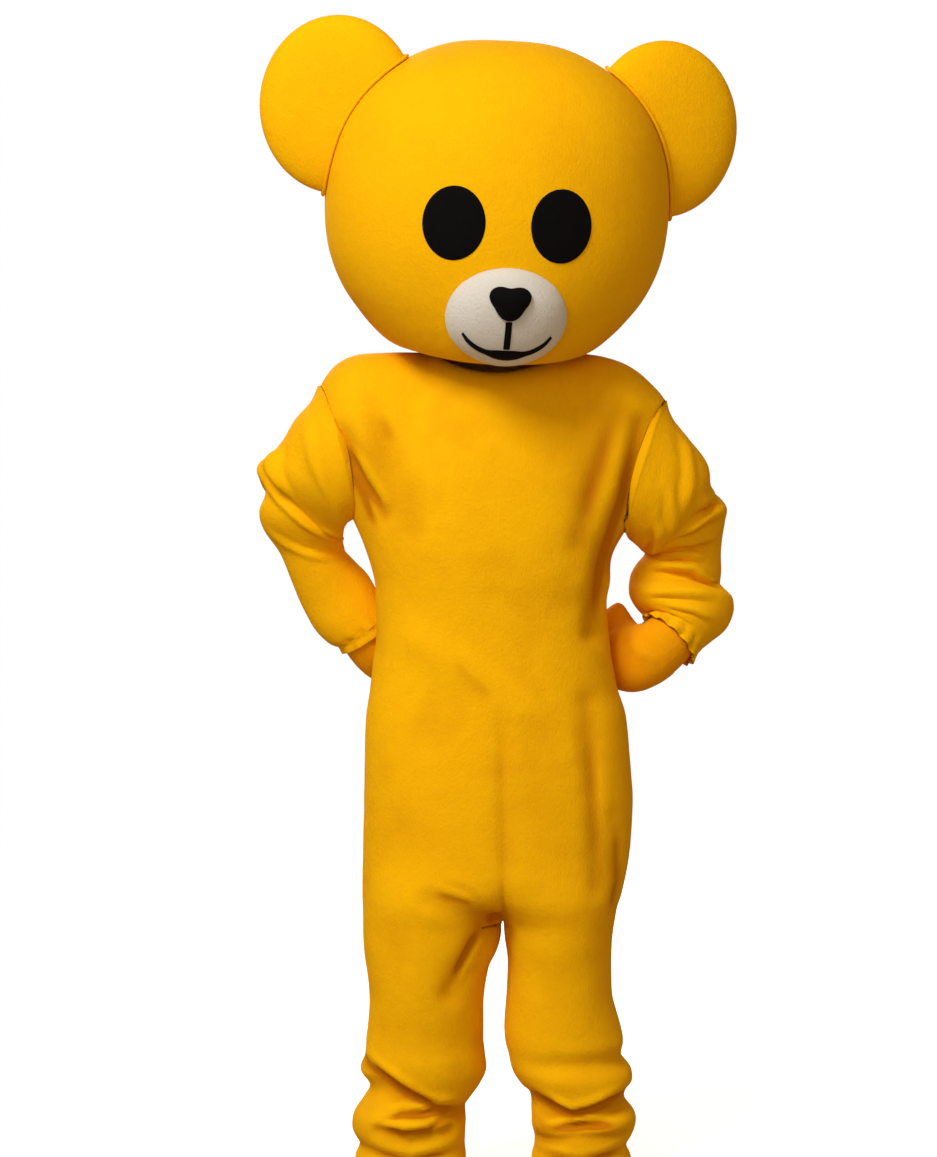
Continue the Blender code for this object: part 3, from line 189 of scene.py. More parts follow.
# Sleeve sections from the armhole to the wrist: outer x, outer z, inner x, inner z, middle y, half depth,
# and the degrees that the section leans where the arm goes back to the elbow and forward again
SLEEVES = {
    RIGHT: (
        (-0.248, -0.036, -0.205, -0.223, 0.0, 0.078, 0),
        (-0.26, -0.061, -0.212, -0.23, 0.004, 0.079, -4),
        (-0.2826, -0.0866, -0.217, -0.2385, 0.012, 0.078, -7),
        (-0.308, -0.126, -0.219, -0.247, 0.024, 0.075, -10),
        (-0.3385, -0.153, -0.22, -0.255, 0.037, 0.07, -12),
        (-0.33, -0.185, -0.22, -0.2625, 0.05, 0.066, -10),
        (-0.337, -0.217, -0.2195, -0.269, 0.061, 0.062, -7),
        (-0.331, -0.246, -0.218, -0.2755, 0.07, 0.058, -4),
        (-0.3095, -0.2795, -0.213, -0.283, 0.076, 0.054, 0),
        (-0.2925, -0.3175, -0.2025, -0.2945, 0.08, 0.05, 4),
        (-0.278, -0.352, -0.187, -0.3096, 0.082, 0.047, 8),
        (-0.259, -0.386, -0.175, -0.329, 0.081, 0.045, 9),
        (-0.24, -0.4055, -0.1648, -0.3497, 0.0813, 0.043, 8),
        (-0.2262, -0.4103, -0.1568, -0.3637, 0.083, 0.0418, 7),
    ),
    LEFT: (
        (0.24, -0.056, 0.187, -0.241, 0.0, 0.078, 0),
        (0.2485, -0.082, 0.19, -0.246, 0.004, 0.08, -5),
        (0.271, -0.112, 0.193, -0.253, 0.012, 0.08, -10),
        (0.297, -0.145, 0.198, -0.258, 0.024, 0.078, -15),
        (0.308, -0.179, 0.2035, -0.264, 0.038, 0.073, -15),
        (0.33, -0.209, 0.2105, -0.271, 0.052, 0.07, -10),
        (0.329, -0.251, 0.2165, -0.2795, 0.06, 0.063, 0),
        (0.3255, -0.295, 0.2055, -0.294, 0.062, 0.064, 8),
        (0.325, -0.327, 0.1955, -0.313, 0.058, 0.06, 12),
        (0.339, -0.346, 0.195, -0.332, 0.05, 0.064, 16),
        (0.331, -0.381, 0.202, -0.3465, 0.04, 0.06, 18),
        (0.308, -0.402, 0.215, -0.356, 0.031, 0.05, 20),
        (0.296, -0.411, 0.228, -0.357, 0.026, 0.043, 22),
        (0.2844, -0.4206, 0.2276, -0.3594, 0.0215, 0.0418, 22),
    ),
}
# The way each wrist points
WRIST_WAY = {RIGHT: Vector((0.55, 0.12, -0.82)), LEFT: Vector((-0.68, -0.37, -0.63))}
# Tucks and rolls of the sleeves: section number, width in sections, height, and the angle that they favour,
# 0 at the outer edge and 90 at the front
ROLLS = {
    RIGHT: ((5.0, 0.8, -0.006, 60), (7.5, 0.9, -0.005, 70)),
    LEFT: ((4.2, 0.8, -0.007, 60), (6.2, 0.9, -0.009, 80), (8.3, 0.7, -0.007, 75), (9.2, 0.7, 0.004, 60)),
}

# Cuffs: the gathered end past the elastic
CUFF_LENGTH = 14 * MM
CUFF_WALL = 2 * MM
CUFF_WAVES = 12
CUFF_RADIUS = 0.042
CUFF_FLARE = {RIGHT: 1.0 * MM, LEFT: 3.6 * MM}
CUFF_WAVE_HEIGHTS = {RIGHT: (0.4 * MM, 0.8 * MM), LEFT: (0.6 * MM, 2.8 * MM)}    # at seam and edge

# Mitts: distances from the sleeve's end between which the wrist is a straight tube inside it and the cuff
MITT_WRIST = 0.0374
MITT_STARTS = (-6 * MM, 4 * MM, CUFF_LENGTH, CUFF_LENGTH + 2 * MM)
# Middle, half width and half thickness from past the cuff to the fingertips
MITTS = {
    RIGHT: (
        (-0.1676, 0.092, -0.417, 0.04, 0.035),
        (-0.1511, 0.101, -0.4253, 0.043, 0.031),
        (-0.135, 0.109, -0.4274, 0.046, 0.029),
        (-0.112, 0.111, -0.4275, 0.048, 0.027),
        (-0.09, 0.1145, -0.427, 0.047, 0.024),
        (-0.072, 0.1175, -0.4265, 0.041, 0.021),
        (-0.054, 0.119, -0.426, 0.029, 0.015),
        (-0.044, 0.119, -0.4255, 0.013, 0.008),
    ),
    LEFT: (
        (0.2327, 0.0116, -0.4101, 0.039, 0.034),
        (0.2171, 0.0142, -0.4191, 0.042, 0.031),
        (0.2051, 0.0222, -0.4236, 0.045, 0.029),
        (0.1945, 0.034, -0.425, 0.047, 0.031),
        (0.1815, 0.059, -0.423, 0.049, 0.029),
        (0.1625, 0.0825, -0.42, 0.05, 0.028),
        (0.135, 0.103, -0.418, 0.05, 0.026),
        (0.105, 0.114, -0.417, 0.045, 0.022),
        (0.0835, 0.119, -0.417, 0.032, 0.016),
        (0.073, 0.1205, -0.417, 0.014, 0.008),
    ),
}
THUMB_HEIGHT = 0.02            # the thumb swells out of the upper edge of the mitt
THUMB_PLACE = {RIGHT: 0.66, LEFT: 0.52}     # share of the mitt at which it is highest
THUMB_WIDTH = 0.085             # in shares of the mitt
THUMB_POWER = 6                 # the higher, the narrower the thumb is round the mitt
MITT_TIP = 4 * MM               # the fingertips close this far past the last section

# Closing strip down the middle of the back
PLACKET_HALF = 18 * MM
PLACKET_WALL = 2 * MM
PLACKET_LIFT = 1.4 * MM         # off the seam, so that it clears the flat facets on either side
PLACKET_END_Z = -0.55

# Head: place of the middle of its lower rim, and its turn in degrees
HEAD_PLACE = Vector((-0.008, -0.004, 0.0158))
HEAD_YAW, HEAD_ROLL, HEAD_PITCH = 4.4, 2.5, 3.5
HEAD_POWER = 2.15
RIM_SADDLE = 0.014              # the rim dips this far at the chin and the nape to sit round the neck
SADDLE_HEIGHT = 0.14
# Head sections from the crown to the neck opening: height, half width, front depth, back depth
HEAD = (
    (0.43, 0.0, 0.0, 0.0),
    (0.4266, 0.058, 0.054, 0.054),
    (0.417, 0.097, 0.093, 0.096),
    (0.3995, 0.136, 0.131, 0.135),
    (0.3755, 0.171, 0.165, 0.169),
    (0.3415, 0.202, 0.194, 0.199),
    (0.2985, 0.225, 0.216, 0.222),
    (0.246, 0.238, 0.228, 0.234),
    (0.188, 0.241, 0.232, 0.237),
    (0.13, 0.233, 0.229, 0.23),
    (0.082, 0.213, 0.218, 0.213),
    (0.044, 0.185, 0.201, 0.188),
    (0.018, 0.16, 0.182, 0.161),
    (0.004, 0.141, 0.164, 0.141),
    (0.0, 0.126, 0.145, 0.128),
    (0.001, 0.105, 0.12, 0.112),
)

# Ears: local to the head
EAR_PLACE = {RIGHT: Vector((-0.2295, -0.01, 0.33)), LEFT: Vector((0.2275, -0.01, 0.318))}
EAR_HALF = (0.111, 0.034, 0.123)
EAR_EDGE_POWER = 2.6            # above 2 the ear is a plate with a round edge, not an egg
EAR_SWEEP = 14                  # degrees that the outer edge is swept back
WELT_RADIUS = 2.6 * MM
WELT_HALVINGS = 24              # steps in the search for the line where the ear meets the head
WELT_DROP = 0.005               # the middle of the ear's foot is this far below the ear's own middle
WELT_REACH_Y, WELT_REACH_Z = 0.1, 0.16     # the foot is looked for as far as this on the head's side

# Face: local to the head, x and z of the middles and half sizes
EYE_PLACE = {RIGHT: (-0.0745, 0.177), LEFT: (0.0695, 0.179)}
EYE_HALF_X, EYE_HALF_Z = 0.0415, 0.0495
EYE_WALL = 2 * MM
MUZZLE_X, MUZZLE_Z, MUZZLE_HALF_X, MUZZLE_HALF_Z = 0.003, 0.057, 0.081, 0.064
MUZZLE_RISE = 0.036
MUZZLE_LIFT = 0.9 * MM          # off the head, so that its back clears the flat facets of the chin
NOSE_Z, NOSE_HALF_X, NOSE_HALF_Z, NOSE_RISE = 0.086, 0.024, 0.019, 0.009
NOSE_EDGE = 1.5 * MM
NOSE_POINTED, NOSE_NOTCH = 0.13, 0.1       # shares of its size: how three-cornered, how deep the upper dip
MUZZLE_EDGE = 1.2 * MM
MOUTH_WALL = 2.2 * MM
BAR_TOP, BAR_BOTTOM, BAR_HALF = 0.063, 0.03, 0.004
SMILE_HALF = 0.053
SMILE_SLOPE = 0.9               # lean of the stroke's cut at the corners
# Smile: share from the right corner to the left, height, half stroke
SMILE = ((-1.0, 0.044, 0.0014), (-0.86, 0.035, 0.0024), (-0.62, 0.027, 0.003), (-0.42, 0.0235, 0.0036),
         (-0.22, 0.0215, 0.0062), (0.0, 0.0205, 0.007), (0.22, 0.0215, 0.0062), (0.42, 0.0235, 0.0036),
         (0.62, 0.027, 0.003), (0.86, 0.035, 0.0024), (1.0, 0.044, 0.0014))

# Small creases, seen from the front or the back: width, height, how far its shoulders rise (the sign
# picks the side of the higher one), and its line as x, z
FRONT_CREASES = {
    "right_armpit_crease": (0.007, -0.0045, 0.5,
                            ((-0.2125, -0.1188), (-0.1848, -0.1672), (-0.1544, -0.2156))),
    "right_armpit_second": (0.006, -0.003, 0.4, ((-0.206, -0.15), (-0.183, -0.196), (-0.168, -0.24))),
    "right_shoulder_dimple": (0.007, -0.001, 0.4, ((-0.1586, -0.0788), (-0.142, -0.1147))),
    "left_chest_crease": (0.012, -0.0016, 0.4,
                          ((0.1676, -0.0718), (0.1483, -0.1216), (0.13, -0.19), (0.1137, -0.2543))),
    "left_armpit_crease": (0.008, -0.003, 0.5,
                           ((0.1994, -0.0953), (0.18, -0.1838), (0.1483, -0.2888), (0.1331, -0.3787))),
    "left_armpit_second": (0.006, -0.003, 0.4, ((0.19, -0.22), (0.168, -0.27), (0.156, -0.32))),
    "left_hip_flute_crease": (0.01, -0.0016, 0.4, ((0.13, -0.5), (0.135, -0.6), (0.143, -0.72))),
    "left_thigh_crease": (0.006, -0.0018, 0.4, ((0.17, -0.66), (0.173, -0.75))),
    "left_hip_nick": (0.005, -0.002, 0.4, ((0.172, -0.73), (0.163, -0.775))),
    "waist_diagonal": (0.012, -0.0016, 0.5, ((-0.0701, -0.4091), (0.0059, -0.4782))),
    "right_crotch_down": (0.006, -0.0035, 0.5, ((-0.0217, -0.7961), (-0.042, -0.833), (-0.0632, -0.8721))),
    "right_crotch_side": (0.007, -0.0026, 0.4, ((-0.0909, -0.7408), (-0.0217, -0.7615))),
    "right_crotch_second": (0.006, -0.0016, 0.4, ((-0.08, -0.725), (-0.04, -0.738), (-0.008, -0.762))),
    "crotch_pocket": (0.008, -0.006, 0.0, ((-0.006, -0.775), (0.002, -0.795))),
    "right_shin_crease": (0.006, -0.008, 0.7,
                          ((-0.1832, -0.9936), (-0.1317, -1.0257), (-0.0857, -1.0535), (-0.0495, -1.0591))),
    "right_shin_second": (0.005, -0.006, 0.6, ((-0.1595, -1.0702), (-0.1317, -1.0619), (-0.0578, -1.0633))),
    "right_shin_third": (0.005, -0.006, 0.6,
                         ((-0.1651, -1.08), (-0.1317, -1.0884), (-0.0941, -1.0856), (-0.0718, -1.073))),
    "right_ankle": (0.006, -0.0045, 0.5, ((-0.19, -1.118), (-0.12, -1.128), (-0.05, -1.12))),
    "left_shin_crease": (0.006, -0.008, 0.7, ((0.0592, -1.0396), (0.0843, -1.0535), (0.108, -1.0633),
                                              (0.1386, -1.0549), (0.1874, -1.0354))),
    "left_shin_second": (0.005, -0.006, 0.6,
                         ((0.0675, -1.0897), (0.0954, -1.0828), (0.1275, -1.0772), (0.179, -1.08))),
    "left_ankle": (0.006, -0.0045, 0.5, ((0.06, -1.125), (0.12, -1.13), (0.19, -1.118))),
}
BACK_CREASES = {
    "right_back": (0.009, -0.004, 0.5, ((-0.15, -0.395), (-0.08, -0.43), (-0.03, -0.432))),
    "left_back": (0.009, -0.004, 0.5, ((0.14, -0.42), (0.08, -0.398), (0.03, -0.4))),
    "right_calf": (0.007, -0.0055, 0.6, ((-0.185, -1.09), (-0.12, -1.105), (-0.05, -1.095))),
    "left_calf": (0.007, -0.0055, 0.6, ((0.185, -1.085), (0.125, -1.105), (0.06, -1.098))),
}
# Folds of the back that have a crease in their trough: its width, height and shoulders
BACK_TROUGHS = {
    "right_seat_drag": (0.008, -0.005, 0.5),
    "left_seat_drag": (0.008, -0.0045, 0.5),
    "right_knee_back": (0.007, -0.006, 0.6),
    "left_knee_back": (0.007, -0.006, 0.6),
    "right_blade_drag": (0.008, -0.0045, 0.5),
    "left_blade_drag": (0.008, -0.0045, 0.5),
}
BACK_CREASES.update({name: (*sizes, FOLDS[name][3]) for name, sizes in BACK_TROUGHS.items()})
# Creases of the sleeves: width, height, shoulders, and a line as section number and degrees round
SLEEVE_CREASES = {
    RIGHT: {
        "elbow_notch": (0.008, -0.007, 0.6, ((3.0, 5), (3.9, 40), (4.6, 75))),
        "elbow_pinch": (0.006, -0.0045, 0.6, ((3.9, 2), (4.5, 24), (5.0, 44))),
        "elbow_fold": (0.008, -0.006, 0.6, ((4.4, 0), (5.2, 50), (5.8, 105), (6.0, 140))),
        "forearm_drag": (0.009, -0.003, 0.4, ((7.0, 20), (7.8, 80), (8.2, 130))),
        "upper_drag": (0.01, -0.003, 0.4, ((1.5, 30), (2.2, 70), (2.6, 120))),
        "inner_tuck": (0.007, -0.004, 0.5, ((4.0, 180), (5.0, 140), (5.6, 110))),
        "elbow_back": (0.009, -0.006, 0.6, ((4.0, -20), (4.6, -60), (5.0, -110))),
        "upper_back": (0.01, -0.004, 0.5, ((1.8, -40), (2.4, -90), (2.6, -130))),
    },
    LEFT: {
        "armpit_tuck": (0.01, -0.008, 0.6, ((2.0, 116), (3.6, 128), (5.5, 152))),
        "upper_inner": (0.008, -0.005, 0.5, ((1.6, 84), (2.6, 100), (4.0, 116))),
        "elbow_fold": (0.008, -0.01, 0.7, ((4.0, 112), (4.5, 60), (5.0, 10))),
        "elbow_second": (0.007, -0.007, 0.7, ((3.3, 75), (3.9, 40), (4.1, 5))),
        "elbow_third": (0.007, -0.007, 0.7, ((5.2, 110), (5.6, 70), (5.9, 30))),
        "forearm_fold": (0.008, -0.01, 0.7, ((7.3, 135), (7.3, 74), (8.7, 10))),
        "forearm_second": (0.007, -0.007, 0.7, ((6.5, 125), (6.5, 90), (6.9, 50))),
        "blouse_second": (0.006, -0.004, 0.5, ((10.4, 120), (10.2, 80), (10.3, 45))),
        "blouse_fold": (0.007, -0.005, 0.5, ((9.6, 139), (9.3, 82), (9.2, 50))),
        "upper_drag": (0.009, -0.004, 0.5, ((1.6, 20), (2.4, 60), (3.0, 95))),
        "elbow_back": (0.009, -0.006, 0.6, ((4.0, -15), (4.6, -60), (5.2, -110))),
        "forearm_back": (0.009, -0.006, 0.6, ((7.6, -20), (8.0, -70), (8.2, -120))),
    },
}
# Creases of the mitts: width, height, shoulders, and a line as metres along and round from the upper edge
MITT_CREASES = {
    RIGHT: {"heel": (0.006, -0.002, 0.4, ((0.045, 0.015), (0.05, 0.05), (0.048, 0.08)))},
    LEFT: {
        "heel": (0.006, -0.0025, 0.4, ((0.05, 0.185), (0.056, 0.215), (0.052, 0.24))),
        "thumb_root": (0.007, -0.003, 0.4, ((0.085, 0.235), (0.11, 0.215), (0.13, 0.22))),
    },
}
CREASE_FULL = 4 * MM            # a dip this deep takes the full painted shade in the colour
CREASE_TAPER, CREASE_END = 0.32, 0.12       # share of its length at each end that dies out, and what is left
RIDGE_PLACE, RIDGE_WIDTH = 1.7, 0.95        # of a crease's shoulders, in widths of the crease
CREASE_CUTOFF = 3.2             # widths from its line at which a crease has gone
CREASE_FACING = 1.6             # how soon a crease dies out where the cloth turns away
FOLD_SHADE, SOFT_SHADE, HEAD_SHADE = 0.2, 0.8, 0.6      # how much of a dip is painted into the colour as shade
SEAM_REACH = 3.6 * MM
PANEL_WIDTH, YOKE_LENGTH, HEAD_QUARTER = 0.28, 0.27, 0.36
CENTRE_SEAM, CENTRE_SEAM_TOP, CENTRE_SEAM_FADE = 0.9 * MM, -0.47, 0.10
INSEAM, SIDE_SEAM, MITT_SEAM = 1.0 * MM, 0.8 * MM, 1.0 * MM
ARMHOLE_SEAM = {RIGHT: 0.25 * MM, LEFT: 1.0 * MM}
HEAD_SEAM = 0.8 * MM
# Smoothing of the yoke: rows past it, rows at its start, passes, pull of a pass and width of the zone
EASE_ROWS, EASE_START, EASE_PASSES, EASE_PULL, EASE_WIDTH = 20, 12, 90, 0.5, 0.16
# Smoothing of the rise: the heights, how far a point feels its neighbours, the zone's reach,
# the rows left alone at the hem and the share of the width over which it starts
RISE_HEIGHTS, RISE_REACH, RISE_ZONE, HEM_ROWS, RISE_START = (-0.712, -0.806), 0.022, 0.0374, 12, 0.2
SOFTNESS, MITT_SOFTNESS, FIRM_SOFTNESS = 1.3 * MM, 0.9 * MM, 0.6 * MM      # the last for placket and head
SOFT_SLOW, SOFT_QUICK, QUICK_SHARE = 11.0, 34.0, 0.35   # scales of the cloth's unevenness
SOFT_OFFSET = Vector((7, 3, 5))
SECTION_LENGTH, SLEEVE_RADIUS = 0.033, 0.062
SLEEVE_CREASE_START = 0.8       # section from which creases are at their full height
GATHERS, GATHER_HEIGHT, GATHER_REACH = 12, 1.2 * MM, 0.7
CUFF_FINE_ROWS, CUFF_FINE_SIDES = 10, 288
CUFF_SEAM, CUFF_STITCH = 0.8 * MM, 0.4 * MM     # how far its elastic and its edge's stitches pull it in
MITT_FINE_ROWS, MITT_FINE_SIDES = 90, 72
MITT_LENGTH, MITT_RADIUS = 0.24, 0.042
MITT_SEAM_ZONE = 20 * MM
FAR_OFF = -9.0                  # where points that no crease reaches are laid
MITT_LOOK, MITT_END_LOOK = 0.02, 0.03       # shares of the mitt over which its direction is read
PLACKET_FINE, PLACKET_ROUNDING, PLACKET_EDGE_POWER = 8, 0.9 * MM, 10
STITCH_PULL = 0.6 * MM
EAR_RINGS, EAR_SIDES, WELD_REACH = 64, 96, 0.01 * MM
WELT_FINE_POINTS = 110
# Patches of the face: how full they are, and their rings as shares of the way out
EYE_EDGE, EYE_POWER, NOSE_POWER, NOTCH_POWER = 0.4 * MM, 14, 2.4, 8
MUZZLE_POWER, MUZZLE_ROUND = 2.3, 0.55
EYE_RINGS = (0.3, 0.6, 0.8, 0.9, 0.95, 0.98, 1.0)
MUZZLE_RINGS = (0.12, 0.25, 0.38, 0.5, 0.6, 0.7, 0.78, 0.85, 0.9, 0.94, 0.97, 0.985, 0.995, 1.0)
NOSE_RINGS = (0.2, 0.4, 0.6, 0.75, 0.86, 0.93, 0.97, 1.0)
PATCH_SIDES, MUZZLE_SIDES, BAR_STEPS, SMILE_STEPS = 96, 128, 12, 60
# A stroke of the mouth, cut across: place in half widths, and height as a share of the wall
STROKE_PROFILE = ((-1.0, 0.25), (-0.92, 0.65), (-0.7, 0.9), (0.0, 1.0), (0.7, 0.9), (0.92, 0.65), (1.0, 0.25))
NORMAL_STEP = 2 * MM            # over which the slope of the head is read
NEARLY_ONE = 0.999              # keeps its curves off their vertical ends
LEVEL_HALVINGS, RIM_STEPS = 30, 4           # steps in the searches for a height on the head
STITCH_INSET, STITCH_LIFT = 4 * MM, 0.1 * MM
STITCH_LENGTH, STITCH_SPACING, STITCH_HALF = 3.0 * MM, 4.2 * MM, 0.35 * MM
HEM_STITCHES = (0.016, 0.02)

# Colours
FLEECE_LIGHT = (0.98, 0.54, 0.001, 1.0)
FLEECE_DEEP = (0.92, 0.44, 0.001, 1.0)
# Mitts: the fleece painted a deeper orange, as painted shade on the hands
MITT_SHADED_LIGHT = (0.94, 0.41, 0.001, 1.0)
MITT_SHADED_DEEP = (0.86, 0.33, 0.001, 1.0)
# Painted shade: the deeper orange that the fleece takes in its creases, folds and seams
FLEECE_SHADE = (0.5, 0.13, 0.001, 1.0)
PLUSH_LIGHT = (0.72, 0.71, 0.66, 1.0)
PLUSH_DEEP = (0.6, 0.58, 0.51, 1.0)
FELT_LIGHT = (0.004, 0.0036, 0.004, 1.0)
FELT_DEEP = (0.0012, 0.0011, 0.0014, 1.0)
THREAD_LIGHT = (0.8, 0.33, 0.004, 1.0)
THREAD_DEEP = (0.62, 0.22, 0.003, 1.0)
MOST_SHADE = 0.8                # share of the painted shade's colour in the deepest creases
# Finishes: roughness where nothing moves it, shine, and the depth of each cloth's relief
MATT, SPECULAR, SHEEN_ROUGHNESS = 0.9, 0.06, 0.5
FLEECE_PILE, PLUSH_PILE, FELT_FIBRE = 1.6 * MM, 1.2 * MM, 0.7 * MM

# Studio: each lamp's name, place, size and watts
FLOOR_Z, FLOOR_RADIUS, FLOOR_COLOUR, FLOOR_GLOW = -1.19, 3.2, (0.84, 0.84, 0.83), 0.66
FLOOR_SIDES, FLOOR_SPECK = 120, 0.98
DOME_RADIUS, DOME_RINGS, DOME_SIDES = 20.0, 24, 48
LAMPS = (
    ("key", (-2.2, -3.5, 3.3), (1.8, 1.8), 220),
    ("front", (-0.2, -4.8, 1.0), (3.0, 2.2), 40),
    ("back", (-1.2, 4.6, 2.0), (3.0, 2.2), 120),
)
LAMP_TARGET = Vector((0.0, 0.0, -0.3))
WORLD_STRENGTH, WORLD_COLOUR = 0.36, (1.0, 0.7, 0.42, 1.0)
CAMERA_PLACE = Vector((-0.038, -4.49, -0.004))
CAMERA_TARGET = Vector((-0.038, 0.0, -0.31))
VIEW_HEIGHT_DEGREES, SENSOR = 20.7, 36.0    # the longer side of the picture, and the sensor's in millimetres


class Value:
    """A number socket that adds Math nodes when it is used in an expression."""

    def __init__(self, finish, socket):
        self.finish, self.socket = finish, socket

    def maths(self, operation, first, second):
        node = self.finish.node("ShaderNodeMath", {"operation": operation}, {0: first, 1: second})
        return Value(self.finish, node.outputs[0])

    def __add__(self, other):
        return self.maths("ADD", self, other)

    def __sub__(self, other):
        return self.maths("SUBTRACT", self, other)

    def __rsub__(self, other):
        return self.maths("SUBTRACT", other, self)

    def __mul__(self, other):
        return self.maths("MULTIPLY", self, other)

    __radd__, __rmul__ = __add__, __mul__

    def up_to(self, most):
        """The value kept between nothing and the most."""
        return self.maths("MINIMUM", self.maths("MAXIMUM", self, 0.0), most)


class Finish:
    """One material and its nodes."""

    def __init__(self, name, sheen=0.0, sheen_tint=(1.0, 1.0, 1.0)):
        self.material = bpy.data.materials.new(name)
        self.material.use_nodes = True
        self.tree = self.material.node_tree
        self.shader = self.tree.nodes["Principled BSDF"]
        self.shader.inputs["Roughness"].default_value = MATT
        self.shader.inputs["Specular IOR Level"].default_value = SPECULAR
        self.shader.inputs["Sheen Weight"].default_value = sheen
        self.shader.inputs["Sheen Roughness"].default_value = SHEEN_ROUGHNESS
        self.shader.inputs["Sheen Tint"].default_value = (*sheen_tint, 1.0)
        self.place = self.node("ShaderNodeTexCoord").outputs["Object"]

    def node(self, kind, settings=None, values=None):
        made = self.tree.nodes.new(kind)
        for key, value in (settings or {}).items():
            setattr(made, key, value)
        for key, value in (values or {}).items():
            self.feed(made.inputs[key], value)
        return made

    def feed(self, socket, value):
        if isinstance(value, Value):
            value = value.socket
        if isinstance(value, bpy.types.NodeSocket):
            self.tree.links.new(value, socket)
        else:
            socket.default_value = value

    def noise(self, scale, detail=2.0, roughness=0.5, stretch=(1, 1, 1)):
        place = self.node("ShaderNodeVectorMath", {"operation": "MULTIPLY"}, {0: self.place, 1: stretch})
        values = {"Vector": place.outputs[0], "Scale": scale, "Detail": detail, "Roughness": roughness}
        return Value(self, self.node("ShaderNodeTexNoise", None, values).outputs[0])

    def tone(self, *layers):
        """A share from 0 to 1, moved about its middle by layers of noise."""
        total = sum(((layer - 0.5) * swing for layer, swing in layers), 0.5)
        return total.up_to(1.0)

    def blend(self, share, first, second):
        """Mix of two colours."""
        values = {0: share, 6: first, 7: second}
        return self.node("ShaderNodeMix", {"data_type": "RGBA"}, values).outputs[2]

    def measured(self, name):
        """A number that the mesh carries."""
        return Value(self, self.node("ShaderNodeAttribute", {"attribute_name": name}).outputs["Fac"])

    def relief(self, height, distance):
        values = {"Height": height, "Distance": distance, "Strength": 1.0}
        self.feed(self.shader.inputs["Normal"], self.node("ShaderNodeBump", None, values).outputs[0])

    def colour(self, value):
        self.feed(self.shader.inputs["Base Color"], value)

    def rough(self, layer, middle, swing):
        """Roughness that a layer of noise moves about its middle."""
        self.feed(self.shader.inputs["Roughness"], middle + (layer - 0.5) * swing)


def fleece_finish(name, deep, light):
    """Fleece: short matted pile, a slow drift of the dye, and painted shade, a deeper orange, in the creases
    and seams.
    """
    finish = Finish(name, sheen=0.05, sheen_tint=(1.0, 0.55, 0.02))
    drift = finish.noise(scale=7)
    matting = finish.noise(scale=60, detail=4, roughness=0.6)
    nap = finish.noise(scale=420, detail=3, roughness=0.6, stretch=(1, 1, 0.6))
    pile = finish.noise(scale=1500, roughness=0.6)
    # painted shade: the deeper a dip, the more of the shade's colour
    painted_shade_mask = finish.measured("crease") * -1.0
    cloth = finish.blend(finish.tone((drift, 0.7), (matting, 0.6), (nap, 0.6)), deep, light)
    finish.colour(finish.blend(painted_shade_mask.up_to(MOST_SHADE), cloth, FLEECE_SHADE))
    finish.rough(nap, middle=0.86, swing=0.14)
    finish.relief(nap * 0.6 + pile * 0.25 + matting * 0.6, FLEECE_PILE)
    return finish.material


def plush_finish():
    """Off-white short plush of the muzzle."""
    finish = Finish("white_plush", sheen=0.25, sheen_tint=(1.0, 0.98, 0.94))
    tufts = finish.noise(scale=300, detail=4, roughness=0.65)
    drift = finish.noise(scale=22)
    finish.colour(finish.blend(finish.tone((tufts, 0.9), (drift, 0.6)), PLUSH_DEEP, PLUSH_LIGHT))
    finish.rough(tufts, middle=0.86, swing=0.1)
    finish.relief(tufts, PLUSH_PILE)
    return finish.material


def felt_finish():
    """Pressed felt: matted fibres that run every way."""
    finish = Finish("black_felt", sheen=0.03, sheen_tint=(0.6, 0.6, 0.62))
    fibres = finish.noise(scale=700, detail=5, roughness=0.7, stretch=(1, 1, 0.35))
    matting = finish.noise(scale=90, detail=3)
    finish.colour(finish.blend(finish.tone((fibres, 1.2), (matting, 0.6)), FELT_DEEP, FELT_LIGHT))
    finish.rough(fibres, middle=0.8, swing=0.2)
    finish.relief(fibres + matting * 0.5, FELT_FIBRE)
    return finish.material


def thread_finish():
    """Twisted sewing thread, a shade deeper than the cloth."""
    finish = Finish("golden_thread")
    twist = finish.noise(scale=1800)
    finish.colour(finish.blend(twist, THREAD_DEEP, THREAD_LIGHT))
    finish.rough(twist, middle=0.575, swing=0.15)
    return finish.material


@lru_cache(maxsize=4096)
def between(rows, at):
    """The values of a table at a key, on a smooth curve. The table rises by its first column."""
    at = min(max(at, rows[0][0]), rows[-1][0])
    last = len(rows) - 2
    i = next((k for k in range(last) if at <= rows[k + 1][0]), last)
    span = rows[i + 1][0] - rows[i][0]
    t = (at - rows[i][0]) / span

    def slope(k, column):
        low, high = max(k - 1, 0), min(k + 1, len(rows) - 1)
        return (rows[high][column] - rows[low][column]) / (rows[high][0] - rows[low][0]) * span

    values = []
    for column in range(1, len(rows[0])):
        a, b = rows[i][column], rows[i + 1][column]
        leave, arrive = slope(i, column), slope(i + 1, column)
        values.append(a + leave * t + (3 * (b - a) - 2 * leave - arrive) * t ** 2
                      + (2 * (a - b) + leave + arrive) * t ** 3)
    return values


def with_keys(rows):
    """The same rows led by the distance along the line of their first three columns."""
    keyed, total = [(0.0, *rows[0])], 0.0
    for before, after in zip(rows, rows[1:]):
        total += (Vector(after[:3]) - Vector(before[:3])).length
        keyed.append((total, *after))
    return [(row[0] / total, *row[1:]) for row in keyed]


def ease(t):
    t = min(max(t, 0.0), 1.0)
    return t * t * (3 - 2 * t)


def power(value, exponent):
    return max(value, 0.0) ** exponent


